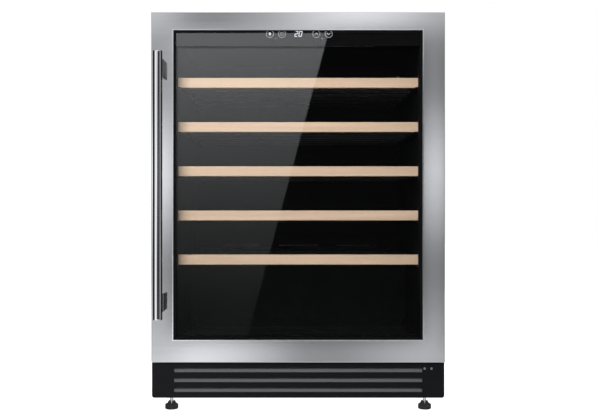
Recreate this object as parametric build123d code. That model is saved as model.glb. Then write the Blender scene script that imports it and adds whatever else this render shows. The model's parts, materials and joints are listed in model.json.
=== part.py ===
"""Under-counter wine cooler with a glass door, as separate pieces in millimetres.

X runs across the cooler, Y from its front to its back and Z up. The origin is on the
floor, below the middle of the closed cooler and its handle. The door opens about its
right-hand edge, the shelves pull out to the front and the feet screw down.
"""

import os
from math import cos, radians, sin

from build123d import *

os.makedirs("parts", exist_ok=True)

# ---- driving sizes -------------------------------------------------------------
# whole cooler
overall_height = 820.0
overall_depth = 573.0  # door face to back panel
cabinet_width = 590.0
ground_clearance = 37.0  # floor to underside of the base pan
sheet = 1.0  # painted sheet steel of the casing
touch_gap = 0.3  # between pieces that nearly meet

# flats that stand for a round, so that small and hidden pieces stay light
hex_sides = 6
small_sides = 8

# door
door_thickness = 42.0
door_overhang = 2.5  # door beyond each side of the cabinet
door_gap = 1.5  # door to kick plate
core_bevel = 2.0
window_bevel = 3.0
skin = 1.2  # stainless skin
skin_return = 28.0  # how far the skin is folded back round the door
stile_width = 45.0
top_rail_height = 36.5
bottom_rail_height = 46.0
glass_set_back = 3.2
pane = 4.0
pane_gap = 12.0
outer_pane_overlap = 10.0
inner_pane_overlap = 6.0
pane_clearance = 0.5
border = 5.0  # dark edge seen inside the door opening
control_strip = 25.0  # height of the covered strip above the clear glass

# touch controls
control_width = 150.0
control_gap = 1.5  # touch controls to the edge of the inner pane's seal
control_thickness = 8.0
control_drop = 7.0  # top of the door's opening to the middle of the touch keys

# handle
handle_diameter = 19.0
handle_length = 530.0
handle_stand_off = 50.0  # door face to the bar's axis
handle_inset = 20.5  # door edge to the bar's axis
handle_top_gap = 87.0  # top of the door to the bar's upper end
bar_bevel = 0.6
post_width = 20.0
post_offset = 2.0  # post's middle inside the bar's axis
post_height = 36.0
post_inset = 33.0  # bar's end to the middle of a post
post_bevel = 2.0
post_saddle = 6.08  # how far the posts reach round the back of the bar
handle_screw = 5.0
handle_screw_reach = 20.0  # into a post
handle_screw_tip = 2.0  # free bore past the screw
handle_screw_seat = 12.0  # back of the door to the screw's seat
handle_head_diameter = 8.0
handle_head_height = 4.0
handle_head_play = 1.0

# gasket
gasket_width = 13.0
gasket_lap = 0.0  # opening edge to the gasket's inner edge
dart_width = 3.0
dart_depth = 4.5
dart_clearance = 0.5
gasket_foot = 1.2
gasket_foot_step = 1.5
gasket_waist = 1.6
gasket_waist_step = 3.0
magnet_width = 7.0
magnet_thickness = 2.4
magnet_end_gap = 1.0

# hinges
pivot_inset = 8.0  # door edge to the hinge axis
pivot_depth = 20.0  # door face to the hinge axis
hinge_plate = 3.0
hinge_arm_left = 15.5
hinge_side_gap = 0.8  # side of the cabinet to the hinge
hinge_nose = 7.0
hinge_bevel = 3.0
hinge_leg_height = 48.0
pin_diameter = 7.0
pin_length = 14.0
pin_play = 0.05
bush_wall = 1.5
bush_floor = 1.0
pin_end_gap = 1.0
hinge_relief = 0.7  # free space over and under the upper hinge plate
lower_plate_gap = 0.4  # casing's floor to the top of the lower hinge plate
notch_side_gap = 2.5
notch_front_gap = 5.0
screw_diameter = 4.8
screw_head_diameter = 8.0
screw_head_height = 2.3
hole_play = 0.1

# cabinet walls and inside
front_gap = 8.0  # back of the door to the front of the cabinet
front_plate = 1.2
side_wall = 38.0
top_wall = 35.0
floor_wall = 30.0
rear_wall = 50.0
liner = 2.0

# shelves
shelf_count = 5
shelf_set_back = 27.0  # cabinet front to the shelf fronts
top_bay = 97.9  # ceiling to the middle of the top shelf front
bottom_bay = 175.4  # floor to the middle of the lowest shelf front
front_strip_height = 21.0
front_strip_thickness = 20.0
front_strip_clearance = 3.5
strip_round = 1.5
rail_width = 8.0
rail_height = 12.0
slat_thickness = 10.0
slat_height = 18.5
slat_rows = 4
cradle_radius = 41.0
cradle_depth = 5.0
cradle_margin = 1.5  # shelf rail to the first bottle's half pitch
bottles_per_shelf = 8
end_bar = 6.0  # thickness of the bar behind the wooden front
shelf_lip_drop = 5.0
shelf_lip_width = 350.0
shelf_rear_gap = 9.0

# shelf runners
runner_wall = 2.5
runner_ledge = 3.2
runner_ledge_width = 11.0
runner_front_gap = 12.0
guide_gap = 12.0  # wooden front to the front end of the upper guide

# bottom rack
rack_slats = 4
rack_bottles = 6
rack_margin = 11.0  # liner's wall to the first bottle's half pitch
rack_front_gap = 24.0
rack_rear_gap = 9.0
rack_height = 20.0
rack_rail = 9.0
rack_side_gap = 4.0

# light and sensor
lamp_width = 344.0
lamp_depth = 34.0
lamp_height = 15.0
lamp_set_back = 40.0
lamp_wall = 2.0
lamp_bevel = 4.0
lens_end_margin = 8.0
lens_side_margin = 7.0
sensor_length = 32.0
sensor_diameter = 8.0
sensor_forward = 60.0  # inner back wall to the sensor's clip
clip_thickness = 6.0
clip_width = 18.0
clip_bevel = 2.0
clip_hold = 1.0  # depth of the probe's seat in the clip

# evaporator space
cold_space = 40.0  # depth behind the evaporator cover
cover_sheet = 2.0
cover_side_gap = 1.0
cover_top_gap = 0.5
inlet_rows = 4
inlet_columns = 3
inlet_first = 14.0  # step in the liner to the lowest slot's middle
inlet_pitch = 9.0
inlet_spacing = 150.0
inlet_width = 100.0
inlet_height = 4.0
outlet_pitch = 8.0
outlet_slot = 4.0
outlet_margin = 3.0
evaporator_side_gap = 47.0
evaporator_rise = 40.0  # step in the liner to the evaporator
evaporator_fan_gap = 55.7
evaporator_plate = 1.6
stand_off = 12.0
stand_off_width = 10.0
stand_off_side = 12.0
stand_off_end = 10.0
channel_side_margin = 24.0
channel_end_margin = 20.0
channel_width = 8.0
channel_height = 4.0
channel_runs = 7

# fans
fan_drop = 62.0  # ceiling to the circulation fan's axis
fan_frame = 82.0
fan_depth = 24.0
fan_corner = 4.0
fan_post_inset = 6.0
fan_post_width = 8.0
fan_foot_inset = 2.0
fan_foot_width = 6.0
fan_foot_height = 1.5
duct_wall = 3.0
duct_sides = 36
blade_tip_gap = 2.0
hub_diameter = 28.0
hub_sides = 20
hub_gap = 0.6
rotor_depth = 16.0
blade_count = 5
blade_pitch = 38.0
blade_thickness = 1.6
blade_root = 2.0  # how far a blade runs into the hub
blade_rake = 3.0
shaft_diameter = 4.0
shaft_play = 0.05
motor_boss_diameter = 24.0
motor_boss_depth = 6.0
strut = 4.0
strut_root = 1.0  # how far a strut runs into the duct's wall

# machine space
machine_depth = 187.0
hump_wall = 33.0
hump_clearance = 14.0  # lowest shelf runner to the step in the liner
compressor_diameter = 124.0
compressor_height = 136.0
can_sides = 32
compressor_foot = 150.0
compressor_foot_depth = 96.0
compressor_foot_plate = 3.5
compressor_foot_corner = 10.0
compressor_seat = 0.5  # how far the can sits in its foot plate
compressor_inset = 145.0  # side of the cabinet to the compressor's axis
compressor_set_back = 2.0
starter_reach = 24.0
starter_width = 40.0
starter_rise = 34.0
starter_height = 52.0
grommet_width = 22.0
grommet_height = 12.0
grommet_inset = 14.0
tray_height = 16.0
tray_wall = 2.0
tray_overhang = 4.0
tray_corner = 12.0
condenser_width = 200.0
condenser_height = 60.0
condenser_thickness = 30.0
condenser_header = 14.0
condenser_tubes = 3
condenser_tube = 4.0
condenser_fins = 8
condenser_fin = 1.5
condenser_lip = 2.0  # headers beyond the tubes and fins
condenser_side_gap = 30.0
condenser_fan_gap = 12.0  # front of the machine space to the condenser fan
control_box_width = 110.0
control_box_height = 80.0
control_box_depth = 42.0
control_box_inset = 40.0
control_box_bevel = 3.0
drain_diameter = 12.0
drain_wall = 1.5
drain_dip = 4.0  # how far the tube reaches below the tray's rim
gland_diameter = 16.0
gland_bore = 8.0
gland_depth = 8.0
gland_side = 40.0
gland_rise = 60.0

# rear cover
vent_rows = 6
vent_first = 34.0
vent_pitch = 17.0
vent_height = 5.0
vent_width = 180.0
vent_edge = 34.0

# kick plate and base
kick_height = 71.9
kick_set_back = 9.0
kick_overhang = 2.5  # kick plate beyond each side of the cabinet
kick_wall = 1.5
kick_corner = 5.0
kick_screw = 3.0
kick_head_diameter = 5.4
kick_head_height = 1.4
kick_screw_gap = 5.0
kick_screw_pitch = 14.0
kick_screw_drop = 12.0
louvre_count = 3
louvre_margin = 45.0  # end of the kick plate to the louvres
louvre_height = 9.0
louvre_top = 15.5  # top of the kick plate to the first louvre's middle
louvre_bottom = 16.2  # underside of the kick plate to the last louvre's middle
blade_slope = 32.0
blade_sheet = 1.5
grille_lap = 3.0
grille_end = 2.0
grille_tail = 4.0
grille_post = 3.0
tab_margin = 5.0
tab_thickness = 3.0
tab_height = 8.0
base_sheet = 1.2
base_flange = 20.0
base_frame_side = 6.0
base_frame_foot = 8.0
base_frame_head = 6.0

# feet
foot_inset = 30.5  # door edge to the foot's axis
front_foot_depth = 80.0
rear_foot_inset = 43.0  # back of the cooler to the rear feet
foot_diameter = 28.0
foot_pad_height = 11.0
foot_bevel = 1.8
foot_crown_height = 6.0
foot_crown_diameter = 16.4
foot_slot = 6.4  # width of the two crossing slots in the crown
foot_slot_depth = 4.6
foot_sides = 24  # flats round the pad
crown_sides = 12
stud_diameter = 8.0
stud_play = 0.08  # stud to its weld nut
stud_hole_play = 0.5  # stud to the hole in the base pan
stud_height = 82.0
insert_diameter = 13.0
insert_height = 12.0

# ---- planes worked out from the sizes --------------------------------------------
handle_reach = handle_stand_off + handle_diameter / 2
face_y = handle_reach - (overall_depth + handle_reach) / 2
door_half = cabinet_width / 2 + door_overhang
cabinet_half = cabinet_width / 2
floor_of_casing = ground_clearance + kick_height
door_bottom = floor_of_casing + door_gap
door_top = overall_height
opening_half = door_half - stile_width
opening_top = door_top - top_rail_height
opening_bottom = door_bottom + bottom_rail_height
clear_top = opening_top - control_strip
window_half = opening_half - border
window_bottom = opening_bottom + border
control_middle = opening_top - control_drop
control_height = 2 * (control_middle - clear_top - inner_pane_overlap - control_gap)
handle_middle = door_top - handle_top_gap - handle_length / 2
post_pitch = handle_length - 2 * post_inset

front_depth = door_thickness + front_gap  # cabinet front plane
inside_half = cabinet_half - side_wall
ceiling = overall_height - top_wall
floor_level = floor_of_casing + floor_wall
inside_back = overall_depth - rear_wall
cover_depth = inside_back - cold_space
pivot_x = door_half - pivot_inset
gasket_thickness = front_gap - touch_gap
kick_half = cabinet_half + kick_overhang
hinge_arm_right = cabinet_half - hinge_side_gap - pivot_x
louvre_half = kick_half - louvre_margin
louvre_pitch = (kick_height - louvre_top - louvre_bottom) / (louvre_count - 1)
rear_foot_depth = overall_depth - rear_foot_inset

top_shelf = ceiling - top_bay
lowest_shelf = floor_level + bottom_bay
shelf_pitch = (top_shelf - lowest_shelf) / (shelf_count - 1)
shelf_levels = [top_shelf - index * shelf_pitch for index in range(shelf_count)]
shelf_front = front_depth + shelf_set_back
shelf_back = cover_depth - shelf_rear_gap
strip_half = inside_half - front_strip_clearance
rail_outer = strip_half
rail_inner = rail_outer - rail_width
bottle_pitch = 2 * (rail_inner - cradle_margin) / bottles_per_shelf
runner_bottom = front_strip_height / 2 + touch_gap + runner_ledge

hump_top = lowest_shelf - runner_bottom - hump_clearance
machine_top = hump_top - liner - hump_wall
machine_front = overall_depth - sheet - machine_depth
hump_front = machine_front - sheet - hump_wall
base_top = ground_clearance + base_sheet
compressor_x = cabinet_half - compressor_inset
rack_depth = hump_front - rack_rear_gap - front_depth - rack_front_gap
rack_pitch = 2 * (inside_half - rack_margin) / rack_bottles

fan_level = ceiling - fan_drop  # height of the circulation fan's axis
duct_diameter = fan_frame - 2 * duct_wall
evaporator_low = hump_top + evaporator_rise
evaporator_high = fan_level - fan_frame / 2 - evaporator_fan_gap

# depths of the glazing, counted from the door face
outer_pane_back = glass_set_back + pane
inner_pane_front = outer_pane_back + pane_gap
inner_pane_back = inner_pane_front + pane


# ---- helpers -----------------------------------------------------------------
def block(left, right, front, back, low, high):
    """A box between two planes each way; front and back count from the door face."""
    middle = ((left + right) / 2, face_y + (front + back) / 2, (low + high) / 2)
    return Pos(*middle) * Box(right - left, back - front, high - low)


def across(half, front, back, low, high):
    """A box that is centred across the cooler."""
    return block(-half, half, front, back, low, high)


def upright(x, depth, low, high, diameter):
    """A vertical cylinder."""
    place = Pos(x, face_y + depth, (low + high) / 2)
    return place * Cylinder(diameter / 2, high - low)


def along_y(x, front, back, height, diameter):
    """A cylinder that runs from front to back."""
    place = Pos(x, face_y + (front + back) / 2, height) * Rot(90, 0, 0)
    return place * Cylinder(diameter / 2, back - front)


def prism_along_y(sides, x, front, back, height, diameter):
    """A prism that runs from front to back; its diameter is across the flats."""
    outline = RegularPolygon(diameter / 2, sides, major_radius=False)
    placed = Plane.XZ.offset(-(face_y + back)) * outline
    return Pos(x, 0, height) * extrude(placed, amount=back - front, dir=(0, -1, 0))


def upright_prism(sides, x, depth, low, high, diameter):
    """A vertical prism; its diameter is across the flats."""
    outline = RegularPolygon(diameter / 2, sides, major_radius=False)
    return Pos(x, face_y + depth, low) * extrude(outline, amount=high - low, dir=(0, 0, 1))


def extruded_across(points, half):
    """A profile of (depth, height) points carried across the cooler."""
    corners = [(face_y + depth, height) for depth, height in points]
    outline = Plane.YZ * make_face(Polyline(*corners, close=True))
    return Pos(-half, 0, 0) * extrude(outline, amount=2 * half, dir=(1, 0, 0))


def ring(half, low, high, front, back, inner_half, inner_low, inner_high):
    """A picture frame that stands across the cooler."""
    hole = across(inner_half, front - 1, back + 1, inner_low, inner_high)
    return across(half, front, back, low, high) - hole


def save(name, shape):
    """Write one named piece."""
    export_step(shape, f"parts/{name}.step")


def save_group(name, shapes):
    """Write like pieces that share a name as separate solids."""
    save(name, Compound(children=[solid for shape in shapes for solid in shape.solids()]))


def mirrored(shape):
    """The same piece on the other side of the cooler."""
    return mirror(shape, about=Plane.YZ)


# ---- door ----------------------------------------------------------------------
def hinge_notch():
    """The corner cut from the door's top, in which the upper hinge plate turns."""
    left = pivot_x - hinge_arm_left - notch_side_gap
    front = pivot_depth - hinge_nose - notch_front_gap
    low = door_top - hinge_plate - 2 * hinge_relief
    return block(left, door_half + 1, front, door_thickness + 1, low, door_top + 1)


def bush_outer():
    """Width of the square hinge bush where it sits in the door."""
    return pin_diameter + 2 * pin_play + 2 * bush_wall


def bush_block(low, high, clearance=0.0):
    """The square outside of a hinge bush, or the pocket for it."""
    reach = bush_outer() / 2 + clearance
    return block(pivot_x - reach, pivot_x + reach, pivot_depth - reach, pivot_depth + reach,
                 low, high)


def upper_bush_top():
    """Height of the notch's floor, on which the upper bush's collar lies."""
    return door_top - hinge_plate - 2 * hinge_relief


def handle_x():
    """Distance of the handle's axis from the cooler's middle, on the left."""
    return -(door_half - handle_inset)


def post_levels():
    """Heights of the two handle posts."""
    return [handle_middle - post_pitch / 2, handle_middle + post_pitch / 2]


def make_door_skin():
    """Folded stainless front: a face, a return all round and a hem at the glass."""
    shell = across(door_half, 0, skin_return, door_bottom, door_top)
    front_edges = shell.edges().filter_by(Axis.Y, reverse=True).group_by(Axis.Y)[0]
    shell = fillet(front_edges, skin * 0.95)
    inner = (door_half - skin, skin, skin_return + 1, door_bottom + skin, door_top - skin)
    shell -= across(*inner)
    hem = across(opening_half + skin, skin / 2, glass_set_back, opening_bottom - skin,
                 opening_top + skin)
    shell += hem
    shell -= across(opening_half, -1, skin_return, opening_bottom, opening_top)
    shell -= hinge_notch()
    shell -= bush_block(door_bottom - 1, door_bottom + skin + 1, touch_gap)
    for level in post_levels():
        shell -= prism_along_y(small_sides, handle_x(), -1, skin + 1, level,
                               handle_screw + 2 * hole_play)
    save("door_skin", shell)


def make_door_core():
    """Moulded inner frame that holds the glazing, the gasket and the hinge bushes."""
    half = door_half - skin
    low = door_bottom + skin
    high = door_top - skin
    core = across(half, skin, door_thickness, low, high)
    rear_edges = core.edges().filter_by(Axis.Y, reverse=True).group_by(Axis.Y)[-1]
    core = chamfer(rear_edges, core_bevel)
    pocket = outer_pane_overlap + pane_clearance
    core -= across(opening_half + pocket, 0, outer_pane_back, opening_bottom - pocket,
                   opening_top + pocket)
    inner_pocket = inner_pane_overlap + pane_clearance
    core -= across(opening_half + inner_pocket, 0, inner_pane_back,
                   opening_bottom - inner_pocket, clear_top + inner_pocket)
    window = across(window_half, 0, door_thickness + 1, window_bottom, clear_top)
    core -= window
    rear_rim = [edge for edge in core.edges().filter_by(Axis.Y, reverse=True)
                if abs(edge.center().Y - (face_y + door_thickness)) < 0.01
                and abs(edge.center().X) < window_half + 0.1
                and window_bottom - 0.1 < edge.center().Z < clear_top + 0.1]
    core = chamfer(rear_rim, window_bevel)
    core -= control_pocket(pane_clearance)
    groove_half = dart_width / 2 + dart_clearance
    middle = gasket_centre()
    core -= gasket_ring(middle, groove_half, door_thickness - dart_depth - dart_clearance,
                        door_thickness + 1)
    core -= hinge_notch()
    core -= bush_block(upper_bush_top() - pin_length - bush_floor, door_top)
    core -= bush_block(door_bottom - 1, door_bottom + skin + pin_length + bush_floor)
    for level in post_levels():
        core -= prism_along_y(small_sides, handle_x(), 0, door_thickness + 1, level,
                              handle_screw + 2 * hole_play)
        reach = handle_head_diameter / 2 + handle_head_play
        core -= block(handle_x() - reach, handle_x() + reach, screw_seat(),
                      door_thickness + 1, level - reach, level + reach)
    save("door_core", core)


def screw_seat():
    """Depth of the seats on which the heads of the handle screws lie."""
    return door_thickness - handle_screw_seat


def control_pocket(clearance):
    """Space for the touch controls behind the outer pane."""
    reach = control_height / 2 + clearance
    return across(control_width / 2 + clearance, outer_pane_back,
                  outer_pane_back + control_thickness + clearance, control_middle - reach,
                  control_middle + reach)


def gasket_centre():
    """Distance of the gasket's middle line outside the cabinet's opening."""
    return gasket_lap + gasket_width / 2


def gasket_ring(middle, half_width, front, back):
    """A frame round the cabinet's opening, centred on a line outside its edge."""
    outer = middle + half_width
    inner = middle - half_width
    return ring(inside_half + outer, floor_level - outer, ceiling + outer, front, back,
                inside_half + inner, floor_level - inner, ceiling + inner)


def make_glazing():
    """Outer and inner panes and the spacer between them."""
    over = outer_pane_overlap
    outer = across(opening_half + over, glass_set_back, outer_pane_back,
                   opening_bottom - over, opening_top + over)
    save("outer_glass", outer)
    over = inner_pane_overlap
    inner = across(opening_half + over, inner_pane_front, inner_pane_back,
                   opening_bottom - over, clear_top + over)
    save("inner_glass", inner)
    spacer = ring(opening_half + over, opening_bottom - over, clear_top + over,
                  outer_pane_back, inner_pane_front, window_half, window_bottom,
                  clear_top - border)
    save("glass_spacer", spacer)


def make_controls():
    """Touch control housing with its number display, bonded behind the outer pane."""
    save("touch_control", control_pocket(0))


def make_gasket():
    """Bellows gasket with a dart in the door and four magnets in its chamber."""
    middle = gasket_centre()
    back = door_thickness + gasket_thickness
    foot_back = door_thickness + gasket_foot
    waist_back = foot_back + gasket_waist
    wide = gasket_width / 2
    body = gasket_ring(middle, wide - gasket_foot_step, door_thickness, foot_back)
    body += gasket_ring(middle, wide - gasket_waist_step, foot_back, waist_back)
    body += gasket_ring(middle, wide, waist_back, back)
    body += gasket_ring(middle, dart_width / 2, door_thickness - dart_depth, door_thickness)
    magnet_front = (waist_back + back - magnet_thickness) / 2
    magnet_back = magnet_front + magnet_thickness
    body -= gasket_ring(middle, magnet_width / 2 + touch_gap, magnet_front - touch_gap,
                        magnet_back)
    side = inside_half + middle
    low = floor_level - middle
    high = ceiling + middle
    half = magnet_width / 2
    end = half + magnet_end_gap
    upright_magnet = block(side - half, side + half, magnet_front, magnet_back, low + end,
                           high - end)
    level_magnets = [across(side - end, magnet_front, magnet_back, level - half, level + half)
                     for level in (low, high)]
    magnets = [upright_magnet, mirrored(upright_magnet), *level_magnets]
    save_group("door_gasket", [body, *magnets])


def make_handle():
    """Round bar on two posts, each held by a screw from inside the door."""
    axis_depth = -handle_stand_off
    low = handle_middle - handle_length / 2
    high = handle_middle + handle_length / 2
    bar = upright(handle_x(), axis_depth, low, high, handle_diameter)
    bar = chamfer(bar.edges().filter_by(GeomType.CIRCLE), bar_bevel)
    save("handle_bar", bar)
    bore = upright(handle_x(), axis_depth, low, high, handle_diameter)
    posts = []
    for level in post_levels():
        middle = handle_x() + post_offset
        post = block(middle - post_width / 2, middle + post_width / 2,
                     axis_depth + handle_diameter / 2 - post_saddle, 0,
                     level - post_height / 2, level + post_height / 2)
        post = chamfer(post.edges().filter_by(Axis.Y), post_bevel)
        post -= bore
        post -= prism_along_y(small_sides, handle_x(), -handle_screw_reach - handle_screw_tip,
                              1, level, handle_screw + 2 * hole_play)
        posts.append(post)
    save_group("handle_posts", posts)
    screws = [handle_fixing(level) for level in post_levels()]
    save_group("handle_screws", screws)


def handle_fixing(level):
    """One screw through the door's core into a handle post."""
    seat = screw_seat()
    shank = prism_along_y(small_sides, handle_x(), -handle_screw_reach, seat, level,
                          handle_screw)
    head = prism_along_y(hex_sides, handle_x(), seat, seat + handle_head_height, level,
                         handle_head_diameter)
    return shank + head


def make_bushes():
    """Plain bearing bushes pressed into the top and bottom of the door."""
    bore = pin_diameter + 2 * pin_play
    top = upper_bush_top()
    upper = bush_block(top - pin_length - bush_floor, top)
    upper -= upright(pivot_x, pivot_depth, top - pin_length, top + 1, bore)
    low = door_bottom
    lower = bush_block(low, low + skin + pin_length + bush_floor)
    lower -= upright(pivot_x, pivot_depth, low - 1, low + skin + pin_length, bore)
    save_group("hinge_bushes", [upper, lower])


# ---- hinges on the cabinet --------------------------------------------------------
def upper_plate_top():
    """Height of the top of the upper hinge plate."""
    return overall_height - hinge_relief


def lower_plate_top():
    """Height of the top of the lower hinge plate, just under the door."""
    return floor_of_casing - lower_plate_gap


def hinge_plan(low, high):
    """The hinge plate's arm, with a round nose about the pin."""
    left = pivot_x - hinge_arm_left
    right = pivot_x + hinge_arm_right
    arm = block(left, right, pivot_depth - hinge_nose, front_depth, low, high)
    corners = arm.edges().filter_by(Axis.Z).group_by(Axis.Y)[0]
    return chamfer(corners, hinge_bevel)


def hinge_leg(low, high):
    """The leg that is screwed to the cabinet's front."""
    left = pivot_x - hinge_arm_left
    right = pivot_x + hinge_arm_right
    return block(left, right, front_depth - hinge_plate, front_depth, low, high)


def screw_x():
    """Distance of the hinge screws from the cooler's middle."""
    return pivot_x + (hinge_arm_right - hinge_arm_left) / 2


def hinge_screw_levels(low, high):
    """Heights of two screws in a hinge leg."""
    return [low + (high - low) * share for share in (0.22, 0.68)]


def front_screw(level):
    """A pan-head screw through a hinge leg into the cabinet's front."""
    seat = front_depth - hinge_plate
    shank = prism_along_y(small_sides, screw_x(), seat, front_depth + front_plate, level,
                          screw_diameter)
    return shank + prism_along_y(hex_sides, screw_x(), seat - screw_head_height, seat, level,
                                 screw_head_diameter)


def front_screw_hole(level):
    """Clearance for one hinge screw, from the leg into the cabinet."""
    seat = front_depth - hinge_plate
    return prism_along_y(small_sides, screw_x(), seat - 1, front_depth + front_plate, level,
                         screw_diameter + 2 * hole_play)


def upper_leg_span():
    """Lowest and highest level of the upper hinge's leg."""
    return upper_plate_top() - hinge_leg_height, upper_plate_top()


def lower_leg_span():
    """Lowest and highest level of the lower hinge's leg."""
    return lower_plate_top() - hinge_leg_height, lower_plate_top()


def make_hinges():
    """Two angle brackets, their pins and the screws that hold them."""
    top = upper_plate_top()
    upper = hinge_plan(top - hinge_plate, top) + hinge_leg(*upper_leg_span())
    upper -= upright(pivot_x, pivot_depth, top - hinge_plate - 1, top + 1, pin_diameter)
    low_top = lower_plate_top()
    lower = hinge_plan(low_top - hinge_plate, low_top) + hinge_leg(*lower_leg_span())
    lower -= upright(pivot_x, pivot_depth, low_top - hinge_plate - 1, low_top + 1, pin_diameter)
    screws = []
    for span, bracket_name in ((upper_leg_span(), "upper"), (lower_leg_span(), "lower")):
        for level in hinge_screw_levels(*span):
            screws.append(front_screw(level))
            if bracket_name == "upper":
                upper -= front_screw_hole(level)
            else:
                lower -= front_screw_hole(level)
    save("upper_hinge_bracket", upper)
    save("lower_hinge_bracket", lower)
    upper_pin = upright(pivot_x, pivot_depth, upper_bush_top() - pin_length + pin_end_gap,
                        top, pin_diameter)
    lower_pin = upright(pivot_x, pivot_depth, low_top - hinge_plate,
                        door_bottom + skin + pin_length - pin_end_gap, pin_diameter)
    save_group("hinge_pins", [upper_pin, lower_pin])
    return screws


# ---- cabinet ---------------------------------------------------------------------
def inside_space(grow, front):
    """The room inside the liner, grown each way, with the step over the machine space."""
    upper = across(inside_half + grow, front, inside_back + grow, hump_top - grow,
                   ceiling + grow)
    lower = across(inside_half + grow, front, hump_front + grow, floor_level - grow,
                   hump_top + 1)
    return upper + lower


def hinge_fixings(shape):
    """Cut the hinge screws' holes into a piece of the cabinet."""
    for span in (upper_leg_span(), lower_leg_span()):
        for level in hinge_screw_levels(*span):
            shape -= front_screw_hole(level)
    return shape


def make_casing():
    """Painted sheets round the insulation, and the frame that the gasket meets."""
    plate_back = front_depth + front_plate
    plate = ring(cabinet_half, floor_of_casing, overall_height, front_depth, plate_back,
                 inside_half, floor_level, ceiling)
    save("front_frame", hinge_fixings(plate))
    side = block(cabinet_half - sheet, cabinet_half, plate_back, overall_depth,
                 ground_clearance, overall_height)
    save_group("side_panels", [side, mirrored(side)])
    save("top_panel", across(cabinet_half - sheet, plate_back, overall_depth,
                             overall_height - sheet, overall_height))
    save("back_panel", across(cabinet_half - sheet, overall_depth - sheet, overall_depth,
                              machine_top, overall_height - sheet))
    low = floor_of_casing
    points = [(plate_back, low - sheet), (machine_front, low - sheet),
              (machine_front, machine_top - sheet), (overall_depth - sheet, machine_top - sheet),
              (overall_depth - sheet, machine_top), (machine_front - sheet, machine_top),
              (machine_front - sheet, low), (plate_back, low)]
    divider = extruded_across(points, cabinet_half - sheet)
    save("machine_space_divider", divider - drain_hole())


def drain_x():
    """Distance of the drain tube from the cooler's middle."""
    return compressor_x


def drain_depth():
    """Depth of the drain tube behind the door face."""
    return (machine_front + inside_back) / 2


def drain_hole():
    """Hole for the drain tube through the step, the insulation and the divider."""
    return upright_prism(small_sides, drain_x(), drain_depth(), machine_top - sheet - 1,
                         hump_top + 1, drain_diameter)


def make_insulation():
    """Foam between the liner and the outer sheets."""
    half = cabinet_half - sheet
    plate_back = front_depth + front_plate
    foam = across(half, plate_back, overall_depth - sheet, floor_of_casing,
                  overall_height - sheet)
    foam -= inside_space(liner, plate_back - 1)
    foam -= across(half + 1, machine_front - sheet, overall_depth, floor_of_casing - 1,
                   machine_top)
    save("insulation", foam - drain_hole())


def make_liner():
    """Vacuum-formed inner box with a step at the back of its floor."""
    plate_back = front_depth + front_plate
    shell = inside_space(liner, plate_back) - inside_space(0, plate_back - 1)
    save("liner", shell - drain_hole())


def make_drain():
    """Tube that leads melt water from the step in the liner to the tray."""
    low = tray_top() - drain_dip
    tube = upright_prism(small_sides, drain_x(), drain_depth(), low, hump_top, drain_diameter)
    tube -= upright_prism(small_sides, drain_x(), drain_depth(), low - 1, hump_top + 1,
                          drain_diameter - 2 * drain_wall)
    save("drain_tube", tube)


# ---- shelves -----------------------------------------------------------------------
def cradle_positions(odd):
    """Middles of every second bottle across a shelf."""
    first = -bottle_pitch * (bottles_per_shelf - 1) / 2
    return [first + bottle_pitch * index for index in range(odd, bottles_per_shelf, 2)]


def scalloped_bar(half, front, back, low, high, positions):
    """A cross bar with round cradles cut into its top."""
    bar = across(half, front, back, low, high)
    centre_height = high - cradle_depth + cradle_radius
    for x in positions:
        bar -= along_y(x, front - 1, back + 1, centre_height, 2 * cradle_radius)
    return bar


def make_shelf(number, level):
    """One shelf: a wooden front on a dark frame with scalloped bars and plain slats."""
    low = level - front_strip_height / 2
    strip_back = shelf_front + front_strip_thickness
    slat_top = low + slat_height
    bar_back = strip_back + end_bar

    strip = across(strip_half, shelf_front, strip_back, low, low + front_strip_height)
    strip = fillet(strip.edges().filter_by(Axis.X).group_by(Axis.Y)[0], strip_round)
    save(f"shelf_{number}_front", strip)

    rail = block(rail_inner, rail_outer, strip_back, shelf_back, low, low + rail_height)
    frame = rail + mirrored(rail)
    frame += scalloped_bar(rail_inner, strip_back, bar_back, low, slat_top,
                           cradle_positions(0))
    frame += across(shelf_lip_width / 2, strip_back, bar_back, low - shelf_lip_drop, low)
    frame += scalloped_bar(rail_inner, shelf_back - slat_thickness, shelf_back, low, slat_top,
                           cradle_positions(1))
    spacing = (shelf_back - slat_thickness - bar_back) / (slat_rows + 1)
    for row in range(slat_rows):
        front = bar_back + spacing * (row + 1) - slat_thickness / 2
        frame += across(rail_inner, front, front + slat_thickness, low,
                        slat_top - cradle_depth)
    save(f"shelf_{number}_frame", frame)


def make_runners():
    """Channels on the liner's side walls that carry the shelves."""
    front = front_depth + runner_front_gap
    guide_front = shelf_front + front_strip_thickness + guide_gap
    inner = inside_half - runner_ledge_width
    channels = []
    for level in shelf_levels:
        rail_low = level - front_strip_height / 2
        ledge_top = rail_low - touch_gap
        guide_low = rail_low + rail_height + touch_gap
        channel = block(inside_half - runner_wall, inside_half, front, cover_depth,
                        ledge_top - runner_ledge, guide_low + runner_wall)
        channel += block(inner, inside_half, front, cover_depth, ledge_top - runner_ledge,
                         ledge_top)
        channel += block(inner + touch_gap, inside_half, guide_front, cover_depth, guide_low,
                         guide_low + runner_wall)
        channels.append(channel)
    channels += [mirrored(channel) for channel in channels]
    save_group("shelf_runners", channels)


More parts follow.
